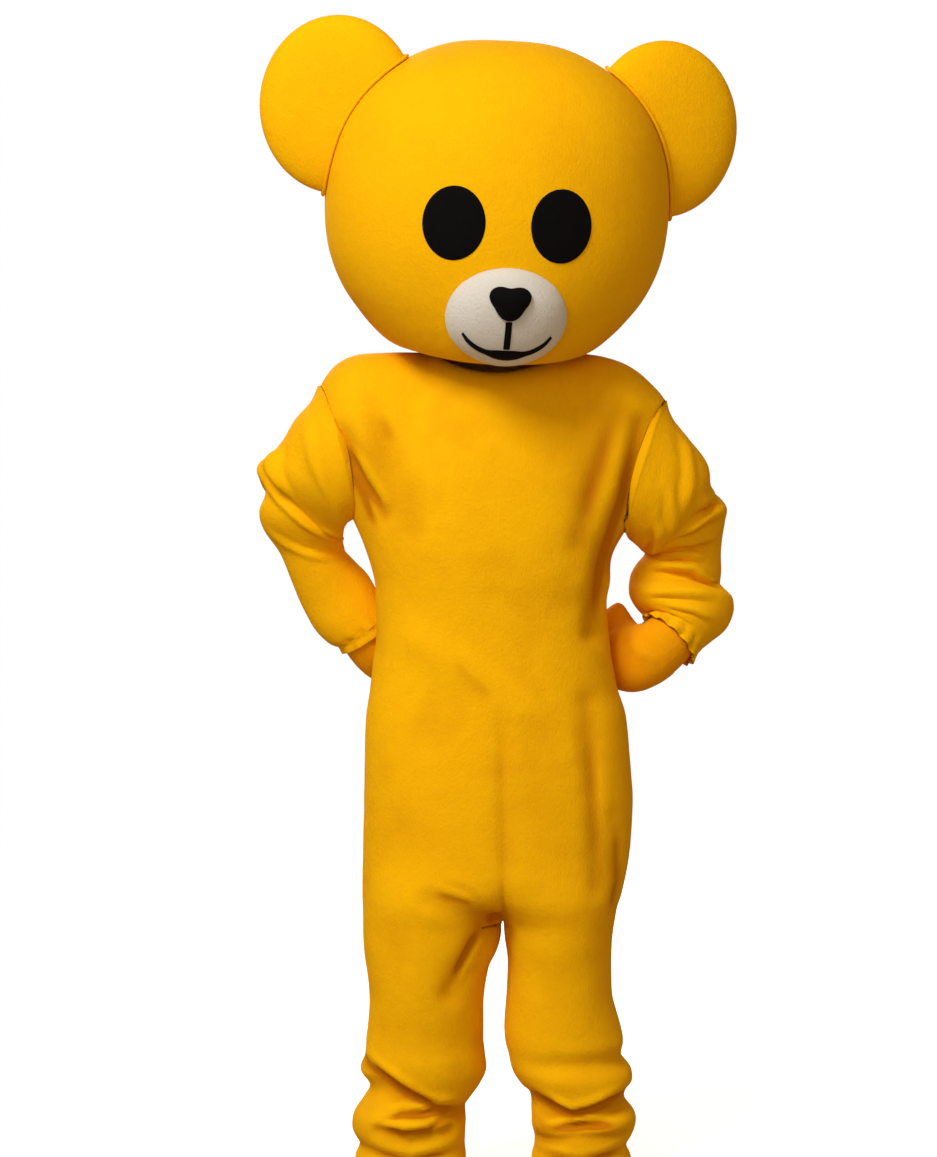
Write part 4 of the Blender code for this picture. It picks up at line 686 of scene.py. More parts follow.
class Cloth:
    """An open cloth surface of one or more panels. A point on a seam has one name for all who meet there."""

    def __init__(self):
        self.ids, self.sums, self.counts, self.sinks, self.faces = {}, [], [], [], {}

    def point(self, name, place, sink=0.0):
        """Add a named point. sink is how far the sewing pulls it in."""
        k = self.ids.setdefault(name, len(self.sums))
        if k == len(self.sums):
            self.sums.append(Vector(place))
            self.counts.append(1)
            self.sinks.append(sink)
        else:
            self.sums[k] += Vector(place)
            self.counts[k] += 1
            self.sinks[k] = max(self.sinks[k], sink)
        return k

    def grid(self, panel, rows, flip=False, closed=False):
        """The triangles between rows of points."""
        rows = np.array(rows)
        if closed:
            rows = np.hstack([rows, rows[:, :1]])
        a, b, c, d = rows[:-1, :-1], rows[:-1, 1:], rows[1:, 1:], rows[1:, :-1]
        triangles = np.concatenate([np.stack(t, -1).reshape(-1, 3) for t in ((a, b, c), (a, c, d))])
        whole = (triangles[:, 0] != triangles[:, 1]) & (triangles[:, 1] != triangles[:, 2])
        triangles = triangles[whole & (triangles[:, 0] != triangles[:, 2])]
        self.faces[panel] = triangles[:, ::-1] if flip else triangles

    def settle(self):
        self.places = np.array([tuple(place / count) for place, count in zip(self.sums, self.counts)])
        self.sink = np.array(self.sinks)
        self.all_faces = np.concatenate(list(self.faces.values()))
        self.painted_shade_depths = np.zeros(len(self.places))
        self.read_normals()

    def read_normals(self):
        a, b, c = (self.places[self.all_faces[:, k]] for k in range(3))
        area = np.cross(b - a, c - a)
        normals = np.zeros_like(self.places)
        for k in range(3):
            np.add.at(normals, self.all_faces[:, k], area)
        self.normals = normals / np.maximum(np.linalg.norm(normals, axis=1), 1e-12)[:, None]

    def push(self, heights, shade=1.0):
        """Move the points along their normals, and remember how much of it is painted into the colour as
        shade.
        """
        self.places += self.normals * heights[:, None]
        self.painted_shade_depths += heights * shade
        self.read_normals()

    def rim(self, triangles):
        """The open edges, each as its face runs."""
        edges = np.concatenate([triangles[:, (0, 1)], triangles[:, (1, 2)], triangles[:, (2, 0)]])
        code = edges[:, 0] * len(self.places) + edges[:, 1]
        back = edges[:, 1] * len(self.places) + edges[:, 0]
        return edges[~np.isin(code, back)]

    def piece(self, name, node, wall, material):
        """The closed wall of a panel, worn in place of the node that it is named after."""
        rim = self.rim(self.faces[node])
        used, index = np.unique(self.faces[node], return_inverse=True)
        triangles = index.reshape(-1, 3)
        place_of = np.zeros(len(self.places), int)
        place_of[used] = np.arange(len(used))
        near, far = place_of[rim[:, 0]], place_of[rim[:, 1]]
        count = len(used)
        outer = self.places[used]
        inner = outer - self.normals[used] * wall
        faces = np.concatenate([triangles, triangles[:, ::-1] + count, np.stack([far, near, far + count], 1),
                                np.stack([near, near + count, far + count], 1)])
        normals = np.concatenate([self.normals[used], -self.normals[used]])
        painted_shade_depths = np.concatenate([self.painted_shade_depths[used], np.zeros(count)])
        wall = make_piece(name, np.concatenate([outer, inner]), faces, material, normals, painted_shade_depths)
        return worn(wall, "yellow_fleece", node)


def make_piece(name, places, faces, material, normals=None, painted_shade_depths=None):
    mesh = bpy.data.meshes.new(name)
    mesh.from_pydata([tuple(p) for p in places], [], [tuple(int(k) for k in face) for face in faces])
    mesh.update()
    mesh.materials.append(material)
    mesh.shade_smooth()
    if normals is not None:
        mesh.normals_split_custom_set_from_vertices([tuple(n) for n in normals])
    # each point's dip, which the fleece paints into its colour as shade
    carried = mesh.attributes.new("crease", "FLOAT", "POINT")
    if painted_shade_depths is not None:
        carried.data.foreach_set("value", (np.array(painted_shade_depths) / CREASE_FULL).astype(np.float32))
    thing = bpy.data.objects.new(name, mesh)
    bpy.context.scene.collection.objects.link(thing)
    return thing


def worn(thing, slot_name, *nodes):
    """The piece rides on the costume and stands for its solids. slot_name is not used."""
    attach(thing, "root")
    if nodes:
        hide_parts(*nodes)
    return thing


def ring_faces(rings, sides, flip=False):
    """The faces between rings of points that follow one another."""
    faces = []
    for start in range(0, rings * sides, sides):
        for r in range(sides):
            a, b = start + r, start + (r + 1) % sides
            faces.append((a, a + sides, b + sides, b) if flip else (a, b, b + sides, a + sides))
    return faces


def crease_field(flat, creases):
    """Heights of listed creases over points laid flat. A crease runs out to nothing at both ends."""
    total = np.zeros(len(flat))
    for width, height, shoulder, line in creases:
        line = np.array(line, float)
        reach = CREASE_CUTOFF * width
        near = ((flat > line.min(0) - reach) & (flat < line.max(0) + reach)).all(1)
        spots = flat[near]
        if not len(spots):
            continue
        best, along, beside = np.full(len(spots), np.inf), np.zeros(len(spots)), np.zeros(len(spots))
        gone = 0.0
        for a, b in zip(line, line[1:]):
            run = b - a
            length = np.linalg.norm(run)
            share = np.clip((spots - a) @ run / length ** 2, 0, 1)
            off = spots - a - share[:, None] * run
            distance = np.linalg.norm(off, axis=1)
            closer = distance < best
            best[closer] = distance[closer]
            along[closer] = (gone + share * length)[closer]
            beside[closer] = np.sign(run[0] * off[:, 1] - run[1] * off[:, 0])[closer]
            gone += length
        end = np.clip(np.minimum(along, gone - along) / (CREASE_TAPER * gone), 0, 1)
        taper = CREASE_END + (1 - CREASE_END) * end * end * (3 - 2 * end)
        dip = np.exp(-(best / width) ** 2)
        ridge = np.exp(-((best / width - RIDGE_PLACE) / RIDGE_WIDTH) ** 2)
        ridge *= 0.5 + 0.5 * beside * np.sign(shoulder)
        total[near] += height * taper * (dip - abs(shoulder) * ridge)
    return total


# Suit surface

def seam_x(z):
    return SEAM_LEAN * min(max((CHEST_Z - z) / (CHEST_Z - CROTCH_Z), 0.0), 1.0)


def section_point(seam, outer, depth, split, exponent, face, u):
    """A point of a body section. split is 0 for a whole torso and 1 for a leg that closes at its inseam."""
    reach = (outer - seam) / (1 + split)
    start = math.pi - math.acos(split ** (exponent / 2))
    angle = start * (1 - u)
    cosine, sine = math.cos(angle), math.sin(angle)
    x = seam + split * reach + reach * math.copysign(power(abs(cosine), 2 / exponent), cosine)
    return x, face * depth * power(sine, 2 / exponent)


def body_point(side, face, u, z):
    """The suit's outer surface below the armpits."""
    if z >= CROTCH_Z:
        right, left, front, back = between(TORSO, z)
        outer = left if side == LEFT else right
        depth = front if face == FRONT else back
        split = 1 - min((z - CROTCH_Z) / CROTCH_CURVE, 1.0)
        exponent = BODY_POWER + (LEG_POWER - BODY_POWER) * split
        x, y = section_point(seam_x(z), outer, depth, split, exponent, face, u)
    else:
        outer, inner, depth = between(LEGS[side], z)
        x, y = section_point(inner, outer, depth, 1.0, LEG_POWER, face, u)
    lift = (SHOULDERS[side]["pit"][2] - CHEST_Z) * ease((u - PIT_START) / (1 - PIT_START))
    return Vector((x, y, z + lift * (1 - ease((CHEST_Z - z) / PIT_BLEND))))


def top_point(side, face, u):
    """The upper edge of a panel: half the neckline, then the shoulder seam out to the tip."""
    share = NECK_SHARE
    if u <= share:
        angle = math.pi / 2 * u / share
        x = side * NECK_HALF * math.sin(angle)
        y = face * NECK_DEPTH[face] * math.cos(angle)
        z = NECK_SIDE_Z + (NECK_DROP[face] - NECK_SIDE_Z) * math.cos(angle) ** 2
        return Vector((x, y, z))
    t = (u - share) / (1 - share)
    tip = Vector(SHOULDERS[side]["tip"])
    x = side * NECK_HALF + (tip.x - side * NECK_HALF) * t
    z = NECK_SIDE_Z + (tip.z - NECK_SIDE_Z) * t ** SHOULDERS[side]["fall"]
    return Vector((x, 0.0, z))


def armhole_point(side, face, v):
    tip, pit = Vector(SHOULDERS[side]["tip"]), Vector(SHOULDERS[side]["pit"])
    turn = math.pi * v
    place = tip.lerp(pit, (1 - math.cos(turn)) / 2)
    place.x -= side * ARMHOLE_HOLLOW * math.sin(turn)
    place.y = face * ARMHOLE_DEPTH * math.sin(turn)
    return place


def yoke_point(side, face, u, v):
    """The suit's outer surface between the shoulder line and the armpit row."""
    turn = math.pi / 2 * v

    def sweep(share):
        top, bottom = top_point(side, face, share), body_point(side, face, share, CHEST_Z)
        return Vector((top.x + (bottom.x - top.x) * ease(v),
                       top.y + (bottom.y - top.y) * math.sin(turn),
                       top.z + (bottom.z - top.z) * (1 - math.cos(turn))))

    edge = armhole_point(side, face, v) - sweep(1.0)
    return sweep(u) + edge * ease((u - ARMHOLE_START) / (1 - ARMHOLE_START))


SLEEVE_ROWS = {side: tuple((float(k), *row) for k, row in enumerate(rows)) for side, rows in SLEEVES.items()}


def roll_height(side, row, angle):
    total = 0.0
    for place, width, height, favoured in ROLLS[side]:
        facing = 0.5 + 0.5 * math.cos(angle - math.radians(favoured))
        total += height * facing ** 1.5 * math.exp(-((row - place) / width) ** 2)
    return total


def sleeve_point(side, row, angle):
    """The sleeve's outer surface. The row counts sections; the angle is 0 outside and 90 degrees in front."""
    outer_x, outer_z, inner_x, inner_z, y, depth, lean = between(SLEEVE_ROWS[side], row)
    wide = Vector((outer_x - inner_x, 0.0, outer_z - inner_z))
    half = wide.length / 2
    wide.normalize()
    turned = Vector((-wide.z, 0.0, wide.x))
    lean = math.radians(lean)
    forward = Vector((0.0, -1.0, 0.0)) * math.cos(lean) + turned * math.sin(lean)
    middle = Vector(((outer_x + inner_x) / 2, y, (outer_z + inner_z) / 2))
    grow = roll_height(side, row, angle)
    place = middle + wide * math.cos(angle) * (half + grow) + forward * math.sin(angle) * (depth + grow)
    place.x -= side * ARMHOLE_HOLLOW * math.sin(angle) ** 2 * (1 - ease(row / 2))
    return place


def wrist(side):
    """Middle of the sleeve's end and the way it points."""
    outer_x, outer_z, inner_x, inner_z, y = SLEEVES[side][-1][:5]
    return Vector(((outer_x + inner_x) / 2, y, (outer_z + inner_z) / 2)), WRIST_WAY[side].normalized()


def tube_frame(tangent):
    up = Vector((0.0, 0.0, 1.0))
    up = (up - tangent * up.dot(tangent)).normalized()
    return up, tangent.cross(up)


# Head surface

HEAD_ROWS = tuple((float(k), *row) for k, row in enumerate(HEAD))
HEAD_TURN = (Matrix.Translation(HEAD_PLACE)
             @ Matrix.Rotation(math.radians(HEAD_YAW), 4, "Z")
             @ Matrix.Rotation(math.radians(HEAD_ROLL), 4, "Y")
             @ Matrix.Rotation(math.radians(HEAD_PITCH), 4, "X"))


def saddle(z, sine):
    return RIM_SADDLE * sine ** 2 * min(max(1 - z / SADDLE_HEIGHT, 0.0), 1.0) ** 2


def head_point(side, face, u, level):
    """The head's outer surface, local. u runs from the middle of the face or nape to the side."""
    z, half, front, back = between(HEAD_ROWS, level)
    angle = math.pi / 2 * (1 - u)
    sine = math.sin(angle)
    x = side * half * power(math.cos(angle), 2 / HEAD_POWER)
    y = face * (front if face == FRONT else back) * power(sine, 2 / HEAD_POWER)
    return Vector((x, y, z - saddle(z, sine)))


def face_front(x, z):
    """The front of the head at a local x and z."""
    height = z
    for _ in range(RIM_STEPS):
        _, half, front, _ = between(HEAD_ROWS, level_at(height))
        across = min(abs(x) / half, NEARLY_ONE)
        sine = math.sqrt(1 - across ** HEAD_POWER)
        height = z + saddle(height, sine)
    depth = front * (1 - across ** HEAD_POWER) ** (1 / HEAD_POWER)
    return Vector((x, -depth, z))


def level_at(z):
    low, high = 0.0, float(len(HEAD) - 2)
    for _ in range(LEVEL_HALVINGS):
        middle = (low + high) / 2
        if between(HEAD_ROWS, middle)[0] > z:
            low = middle
        else:
            high = middle
    return low


def outward(surface, x, z):
    """Unit normal of a surface given as a function of two of its coordinates."""
    across = surface(x + NORMAL_STEP, z) - surface(x - NORMAL_STEP, z)
    upright = surface(x, z + NORMAL_STEP) - surface(x, z - NORMAL_STEP)
    return across.cross(upright).normalized()


def oval(x0, z0, half_x, half_z, sides):
    """Spokes of an oval: its middle and the reach of each spoke, counter-clockwise from the front."""
    turns = [2 * math.pi * r / sides for r in range(sides)]
    return [(x0, z0, half_x * math.cos(turn), half_z * math.sin(turn)) for turn in turns]


def nose_outline(sides):
    """Spokes of a rounded triangle that points down, with a soft dip in its upper edge."""
    spokes = []
    for r in range(sides):
        turn = 2 * math.pi * r / sides
        notch = NOSE_NOTCH * power(math.sin(turn), NOTCH_POWER)
        reach = 1 + NOSE_POINTED * math.cos(3 * (turn + math.pi / 2)) - notch
        reach_x, reach_z = NOSE_HALF_X * reach, NOSE_HALF_Z * reach
        spokes.append((MUZZLE_X, NOSE_Z, reach_x * math.cos(turn), reach_z * math.sin(turn)))
    return spokes


def muzzle_rise(share):
    return MUZZLE_EDGE + MUZZLE_RISE * (1 - min(share, 1.0) ** MUZZLE_POWER) ** MUZZLE_ROUND


def muzzle_front(x, z):
    """The front of the muzzle's dome at a local x and z."""
    share = math.hypot((x - MUZZLE_X) / MUZZLE_HALF_X, (z - MUZZLE_Z) / MUZZLE_HALF_Z)
    return face_front(x, z) + outward(face_front, x, z) * (MUZZLE_LIFT + muzzle_rise(share))


def ear_frame(side):
    return Matrix.Translation(EAR_PLACE[side]) @ Matrix.Rotation(math.radians(side * EAR_SWEEP), 4, "Z")


def ear_thickness(share):
    return EAR_HALF[1] * power(1 - share ** EAR_EDGE_POWER, 0.5)


def head_side(side, y, z, lift):
    """The side of the head at a local y and z, lifted along its normal."""
    def surface(at_y, at_z):
        _, half, front, back = between(HEAD_ROWS, level_at(at_z))
        depth = front if at_y < 0 else back
        across = min(abs(at_y) / depth, NEARLY_ONE)
        return Vector((side * half * (1 - across ** HEAD_POWER) ** (1 / HEAD_POWER), at_y, at_z))

    normal = outward(surface, y, z)
    return surface(y, z) + normal * math.copysign(lift, side * normal.x)


# Suit pieces

def panel_name(side, face):
    return f"{FACE_NAMES[face]}_{SIDE_NAMES[side]}"


def suit_heights():
    """Heights of the rows below the armpits, closer where the rise turns under the crotch."""
    top = CROTCH_Z + CROTCH_CURVE
    body_count = round((CHEST_Z - top) / ROW_STEP)
    leg_count = round((CROTCH_Z - HEM_Z) / ROW_STEP)
    body = [CHEST_Z + (top - CHEST_Z) * k / body_count for k in range(1, body_count + 1)]
    turn = [CROTCH_Z + CROTCH_CURVE * (1 - k / CROTCH_ROWS) ** 2 for k in range(1, CROTCH_ROWS + 1)]
    legs = [CROTCH_Z + (HEM_Z - CROTCH_Z) * k / leg_count for k in range(1, leg_count + 1)]
    return body + turn + legs


def sewn_in(distance, depth):
    """How far a seam pulls the cloth in at a distance from it."""
    return depth * math.exp(-(distance / SEAM_REACH) ** 2)


def centre_seam_depth(face, z):
    if face == BACK:
        return CENTRE_SEAM if z < PLACKET_END_Z else 0.0
    return CENTRE_SEAM * ease((CENTRE_SEAM_TOP - z) / CENTRE_SEAM_FADE)


def lay_panel(cloth, side, face):
    """Add one long panel, shoulder to hem, with its seam points named for all who share them."""
    heights = suit_heights()
    last_row = FINE_YOKE + len(heights)
    crotch_row = FINE_YOKE + heights.index(min(heights, key=lambda z: abs(z - CROTCH_Z))) + 1

    def name(i, j):
        if i == 0 and j == crotch_row:
            return "crotch"
        if i == 0:
            return ("centre", face, j) if j < crotch_row else ("inseam", side, j)
        if j == 0 and i >= FINE_NECK:
            return ("shoulder", side, i)
        if i == FINE_COLUMNS:
            if j == FINE_YOKE:
                return ("pit", side)
            return ("armhole", side, face, j) if j < FINE_YOKE else ("side", side, j)
        return (side, face, i, j)

    def sink(u, j, z):
        inner = sewn_in(u * PANEL_WIDTH, centre_seam_depth(face, z) if j < crotch_row else INSEAM)
        outer = sewn_in((1 - u) * PANEL_WIDTH, ARMHOLE_SEAM[side] if j <= FINE_YOKE else SIDE_SEAM)
        shoulder = sewn_in(j / FINE_YOKE * YOKE_LENGTH, SIDE_SEAM) if u > NECK_SHARE else 0.0
        return max(inner, outer, shoulder)

    rows = []
    for j in range(last_row + 1):
        row = []
        for i in range(FINE_COLUMNS + 1):
            u = i / FINE_COLUMNS
            if j <= FINE_YOKE:
                place = yoke_point(side, face, u, j / FINE_YOKE)
            else:
                place = body_point(side, face, u, heights[j - FINE_YOKE - 1])
            row.append(cloth.point(name(i, j), place, sink(u, j, place.z)))
        rows.append(row)
    cloth.grid(panel_name(side, face), rows, flip=side * face < 0)
    return rows


def lay_sleeve(cloth, side):
    """Add a sleeve from its armhole ring, and note where each point lies on it, laid flat."""
    count = 2 * FINE_YOKE
    front = [("armhole", side, FRONT, j) for j in range(1, FINE_YOKE)]
    back = [("armhole", side, BACK, j) for j in range(FINE_YOKE - 1, 0, -1)]
    rows = [[cloth.ids[name] for name in [("shoulder", side, FINE_COLUMNS)] + front + [("pit", side)] + back]]
    ring = [cloth.sums[k] / cloth.counts[k] for k in rows[0]]
    last = len(SLEEVES[side]) - 1
    flat = {k: (0.0, 2 * math.pi * r / count) for r, k in enumerate(rows[0])}
    for step in range(1, last * SLEEVE_STEPS + 1):
        at = step / SLEEVE_STEPS
        row = []
        for r in range(count):
            angle = 2 * math.pi * r / count
            place = sleeve_point(side, at, angle)
            place += (ring[r] - sleeve_point(side, 0.0, angle)) * (1 - ease(at))
            gathers = GATHER_HEIGHT * math.cos(GATHERS * angle) * math.exp(-((last - at) / GATHER_REACH) ** 2)
            sink = sewn_in(at * SECTION_LENGTH, ARMHOLE_SEAM[side]) - gathers
            k = cloth.point(("sleeve", side, step, r), place, sink)
            flat[k] = (at, angle)
            row.append(k)
        rows.append(row)
    cloth.grid(f"sleeve_{SIDE_NAMES[side]}", rows, flip=side == LEFT, closed=True)
    return flat


def fold_heights(places, normals):
    """Sum of the large folds, as in the solids."""
    flat = places[:, (0, 2)]
    total = np.zeros(len(places))
    for face, width, height, line in FOLDS.values():
        facing = np.clip(FOLD_EVEN + FOLD_FACING * normals[:, 1] * face, 0, 1)
        nearest = np.full(len(places), np.inf)
        for a, b in zip(np.array(line), np.array(line)[1:]):
            run = b - a
            share = np.clip((flat - a) @ run / (run @ run), 0, 1)
            nearest = np.minimum(nearest, np.linalg.norm(flat - a - share[:, None] * run, axis=1))
        total += facing * height * np.exp(-(nearest / width) ** 2)
    return total


def suit_creases(cloth):
    """Small creases of the body, those of the front and those of the back apart."""
    flat = cloth.places[:, (0, 2)]
    total = np.zeros(len(flat))
    for face, table in ((FRONT, FRONT_CREASES), (BACK, BACK_CREASES)):
        facing = np.clip(FOLD_EVEN + CREASE_FACING * cloth.normals[:, 1] * face, 0, 1)
        total += facing * crease_field(flat, table.values())
    panels = [cloth.faces[panel_name(side, face)].ravel() for side in (RIGHT, LEFT) for face in (FRONT, BACK)]
    return np.where(np.isin(np.arange(len(flat)), np.concatenate(panels)), total, 0.0)


def sleeve_creases(cloth, flats):
    """Creases of the sleeves, along and round each one. They die out at the armhole seam."""
    total = np.zeros(len(cloth.places))
    for side, flat in flats.items():
        ids = np.array(list(flat))
        at = np.array(list(flat.values()))
        lines = []
        for *sizes, line in SLEEVE_CREASES[side].values():
            laid = [(row * SECTION_LENGTH, math.radians(degrees) * SLEEVE_RADIUS) for row, degrees in line]
            lines.append((*sizes, laid))
        for turn in (-2 * math.pi, 0.0, 2 * math.pi):
            laid = np.stack([at[:, 0] * SECTION_LENGTH, (at[:, 1] + turn) * SLEEVE_RADIUS], 1)
            total[ids] += crease_field(laid, lines) * np.clip(at[:, 0] / SLEEVE_CREASE_START, 0, 1)
    return total


def softness(places, size):
    """Slow unevenness of cloth that hangs over a soft body."""
    rise = [noise.noise(Vector(p) * SOFT_SLOW)
            + noise.noise(Vector(p) * SOFT_QUICK + SOFT_OFFSET) * QUICK_SHARE for p in places]
    return np.array(rise) * size


def ease_yoke(cloth, rows):
    """Soften the turn that runs down a panel's top from the corner of the neckline."""
    for panel in rows.values():
        ids = np.array(panel[:FINE_YOKE + EASE_ROWS])
        places = cloth.places[ids]
        across = np.exp(-((np.arange(FINE_COLUMNS + 1) / FINE_COLUMNS - NECK_SHARE) / EASE_WIDTH) ** 2)
        down = np.array([ease(j / EASE_START) * ease((len(ids) - j) / EASE_ROWS) for j in range(len(ids))])
        share = EASE_PULL * across[None, 1:-1, None] * down[:, None, None]
        for _ in range(EASE_PASSES):
            middle = (places[:, :-2] + places[:, 2:]) / 2
            places[:, 1:-1] += share * (middle - places[:, 1:-1])
        cloth.places[ids] = places
    cloth.read_normals()


def ease_rise(cloth, rows):
    """Even out the panels down their length where the sections of body and legs take turns."""
    heights = np.array(suit_heights())
    pull = np.exp(-((heights[:, None] - heights) / RISE_REACH) ** 2) * np.abs(np.gradient(heights))
    pull /= pull.sum(1, keepdims=True)
    zone = np.max([np.exp(-((heights - z) / RISE_ZONE) ** 2) for z in RISE_HEIGHTS], axis=0)
    zone[-HEM_ROWS:] = 0
    across = np.array([ease(i / FINE_COLUMNS / RISE_START) for i in range(FINE_COLUMNS + 1)])
    share = (zone[:, None] * across)[:, :, None]
    for panel in rows.values():
        ids = np.array(panel[FINE_YOKE + 1:])
        places = cloth.places[ids]
        cloth.places[ids] = places + (np.einsum("jk,kic->jic", pull, places) - places) * share
    cloth.read_normals()


def build_suit(fleece):
    cloth = Cloth()
    rows = {(side, face): lay_panel(cloth, side, face) for side in (RIGHT, LEFT) for face in (FRONT, BACK)}
    flats = {side: lay_sleeve(cloth, side) for side in (RIGHT, LEFT)}
    cloth.settle()
    ease_yoke(cloth, rows)
    ease_rise(cloth, rows)
    # the dips of folds, creases, seams and unevenness are also painted into the colour as shade
    cloth.push(fold_heights(cloth.places, cloth.normals), FOLD_SHADE)
    cloth.push(suit_creases(cloth) + sleeve_creases(cloth, flats))
    cloth.push(softness(cloth.places, SOFTNESS) - cloth.sink, SOFT_SHADE)
    for side in (RIGHT, LEFT):
        for face in (FRONT, BACK):
            node = panel_name(side, face)
            panel = cloth.piece(f"{node}_panel", node, SUIT_WALL, fleece)
        node = f"sleeve_{SIDE_NAMES[side]}"
        sleeve = cloth.piece(f"{node}_cloth", node, SUIT_WALL, fleece)
    return cloth, rows


def build_cuff(side, fleece):
    """The gathered end of a sleeve, past its elastic."""
    cloth = Cloth()
    node = f"cuff_{SIDE_NAMES[side]}"
    end, tangent = wrist(side)
    up, across = tube_frame(tangent)
    rows = []
    for j in range(CUFF_FINE_ROWS + 1):
        share = j / CUFF_FINE_ROWS
        centre = end + tangent * (2 * SEAM_INSET + share * CUFF_LENGTH)
        first, last = CUFF_WAVE_HEIGHTS[side]
        row = []
        for r in range(CUFF_FINE_SIDES):
            angle = 2 * math.pi * r / CUFF_FINE_SIDES
            wave = (first + (last - first) * share) * math.cos(CUFF_WAVES * angle)
            radius = CUFF_RADIUS + CUFF_FLARE[side] * share + wave
            edge = sewn_in(share * CUFF_LENGTH, CUFF_SEAM)
            edge += sewn_in((1 - share) * CUFF_LENGTH - STITCH_INSET, CUFF_STITCH)
            place = centre + (up * math.cos(angle) + across * math.sin(angle)) * radius
            row.append(cloth.point((j, r), place, edge))
        rows.append(row)
    cloth.grid(node, rows, flip=True, closed=True)
    cloth.settle()
    cloth.push(-cloth.sink)
    cuff = cloth.piece(f"{node}_frill", node, CUFF_WALL, fleece)


def build_mitt(side, fleece):
    """A fingerless mitt on the hip, sewn along both edges, with a thumb that swells out of the upper one."""
    cloth = Cloth()
    node = f"mitt_{SIDE_NAMES[side]}"
    end, tangent = wrist(side)
    straight = [(*(end + tangent * distance), MITT_WRIST, MITT_WRIST) for distance in MITT_STARTS]
    line = tuple(with_keys(straight + list(MITTS[side])))
    straight_end = line[len(straight)][0]
    rows, flat = [], {}
    for j in range(MITT_FINE_ROWS + 1):
        share = j / MITT_FINE_ROWS
        x, y, z, half_width, half_thick = between(line, share)
        before, after = (Vector(between(line, share + step)[:3]) for step in (-MITT_LOOK, MITT_LOOK))
        way = (after - before).normalized()
        up, across = tube_frame(tangent.lerp(way, ease(share / straight_end)).normalized())
        thumb = THUMB_HEIGHT * math.exp(-((share - THUMB_PLACE[side]) / THUMB_WIDTH) ** 2)
        row = []
        for r in range(MITT_FINE_SIDES):
            angle = 2 * math.pi * r / MITT_FINE_SIDES
            rise = half_width * math.cos(angle) + thumb * power(math.cos(angle), THUMB_POWER)
            place = Vector((x, y, z)) + up * rise + across * (half_thick * math.sin(angle))
            seam = min(abs(math.sin(angle)) * half_thick, MITT_SEAM_ZONE)
            row.append(cloth.point((j, r), place, sewn_in(seam, MITT_SEAM) if share > straight_end else 0.0))
            flat[cloth.ids[j, r]] = (share * MITT_LENGTH, angle * MITT_RADIUS)
        rows.append(row)
    before, end = (Vector(between(line, share)[:3]) for share in (1 - MITT_END_LOOK, 1.0))
    tip = end + (end - before).normalized() * MITT_TIP
    rows.append([cloth.point("tip", tip)] * MITT_FINE_SIDES)
    cloth.grid(node, rows, flip=True, closed=True)
    cloth.settle()
    laid = np.full((len(cloth.places), 2), FAR_OFF)     # the tip is left out
    laid[list(flat)] = list(flat.values())
    soft = softness(cloth.places, MITT_SOFTNESS)
    cloth.push(crease_field(laid, MITT_CREASES[side].values()) + soft - cloth.sink)
    mitt = cloth.piece(f"{node}_cloth", node, SUIT_WALL, fleece)


def along_row(cloth, row, distance):
    """Place and normal at a distance from the start of a row of points."""
    gone = 0.0
    for a, b in zip(row, row[1:]):
        length = float(np.linalg.norm(cloth.places[b] - cloth.places[a]))
        if gone + length >= distance:
            share = (distance - gone) / length
            normal = Vector(cloth.normals[a] * (1 - share) + cloth.normals[b] * share).normalized()
            return Vector(cloth.places[a] * (1 - share) + cloth.places[b] * share), normal
        gone += length
    return Vector(cloth.places[row[-1]]), Vector(cloth.normals[row[-1]])


def build_placket(suit, rows, fleece, thread):
    """The lapped closing strip down the back, with a line of stitches along each edge."""
    cloth = Cloth()
    sides = {side: rows[side, BACK] for side in (RIGHT, LEFT)}
    places, edges = [], {RIGHT: [], LEFT: []}
    for j in range(len(sides[LEFT])):
        if suit.places[sides[LEFT][j][0]][2] < PLACKET_END_Z:
            break
        row = []
        for k in range(-PLACKET_FINE, PLACKET_FINE + 1):
            side = RIGHT if k < 0 else LEFT
            share = abs(k) / PLACKET_FINE
            place, normal = along_row(suit, sides[side][j], share * PLACKET_HALF)
            rounding = PLACKET_ROUNDING * power(share, PLACKET_EDGE_POWER)
            sink = sewn_in((1 - share) * PLACKET_HALF - STITCH_INSET, STITCH_PULL)
            row.append(cloth.point((j, k), place + normal * (PLACKET_LIFT + PLACKET_WALL - rounding), sink))
            if abs(k) == PLACKET_FINE:
                place, normal = along_row(suit, sides[side][j], PLACKET_HALF - STITCH_INSET)
                edges[side].append((place + normal * (PLACKET_LIFT + PLACKET_WALL - STITCH_PULL), normal))
        places.append(row)
    cloth.grid("back_placket", places)
    cloth.settle()
    cloth.push(softness(cloth.places, FIRM_SOFTNESS) - cloth.sink)
    placket = cloth.piece("placket_strip", "back_placket", PLACKET_WALL, fleece)
    lines = [sew(f"placket_stitches_{SIDE_NAMES[side]}", line, thread) for side, line in edges.items()]


def sew(name, line, thread):
    """A line of running stitches along places with their normals, each a small lozenge of thread."""
    points, faces = [], []
    gone, start, laid = 0.0, None, 0.0
    for (a, normal), (b, _) in zip(line, line[1:]):
        step = (b - a).length
        while laid <= gone + step and step > 0:
            share = (laid - gone) / step
            middle = a.lerp(b, share)
            way = (b - a).normalized()
            across = normal.cross(way).normalized()
            half = way * STITCH_LENGTH / 2
            base = len(points)
            points += [middle - half - normal * STITCH_HALF, middle + half - normal * STITCH_HALF]
            points += [middle + across * STITCH_HALF, middle + normal * STITCH_HALF,
                       middle - across * STITCH_HALF, middle - normal * STITCH_HALF]
            for k in range(4):
                one, two = base + 2 + k, base + 2 + (k + 1) % 4
                faces += [(base, two, one), (base + 1, one, two)]
            laid += STITCH_SPACING
        gone += step
    return worn(make_piece(name, points, faces, thread), "yellow_fleece")


def row_line(cloth, ids, lift=0.0):
    """A line of places and normals along named points, for sewing."""
    places, normals = ([Vector(values[k]) for k in ids] for values in (cloth.places, cloth.normals))
    return [(place + normal * lift, normal) for place, normal in zip(places, normals)]


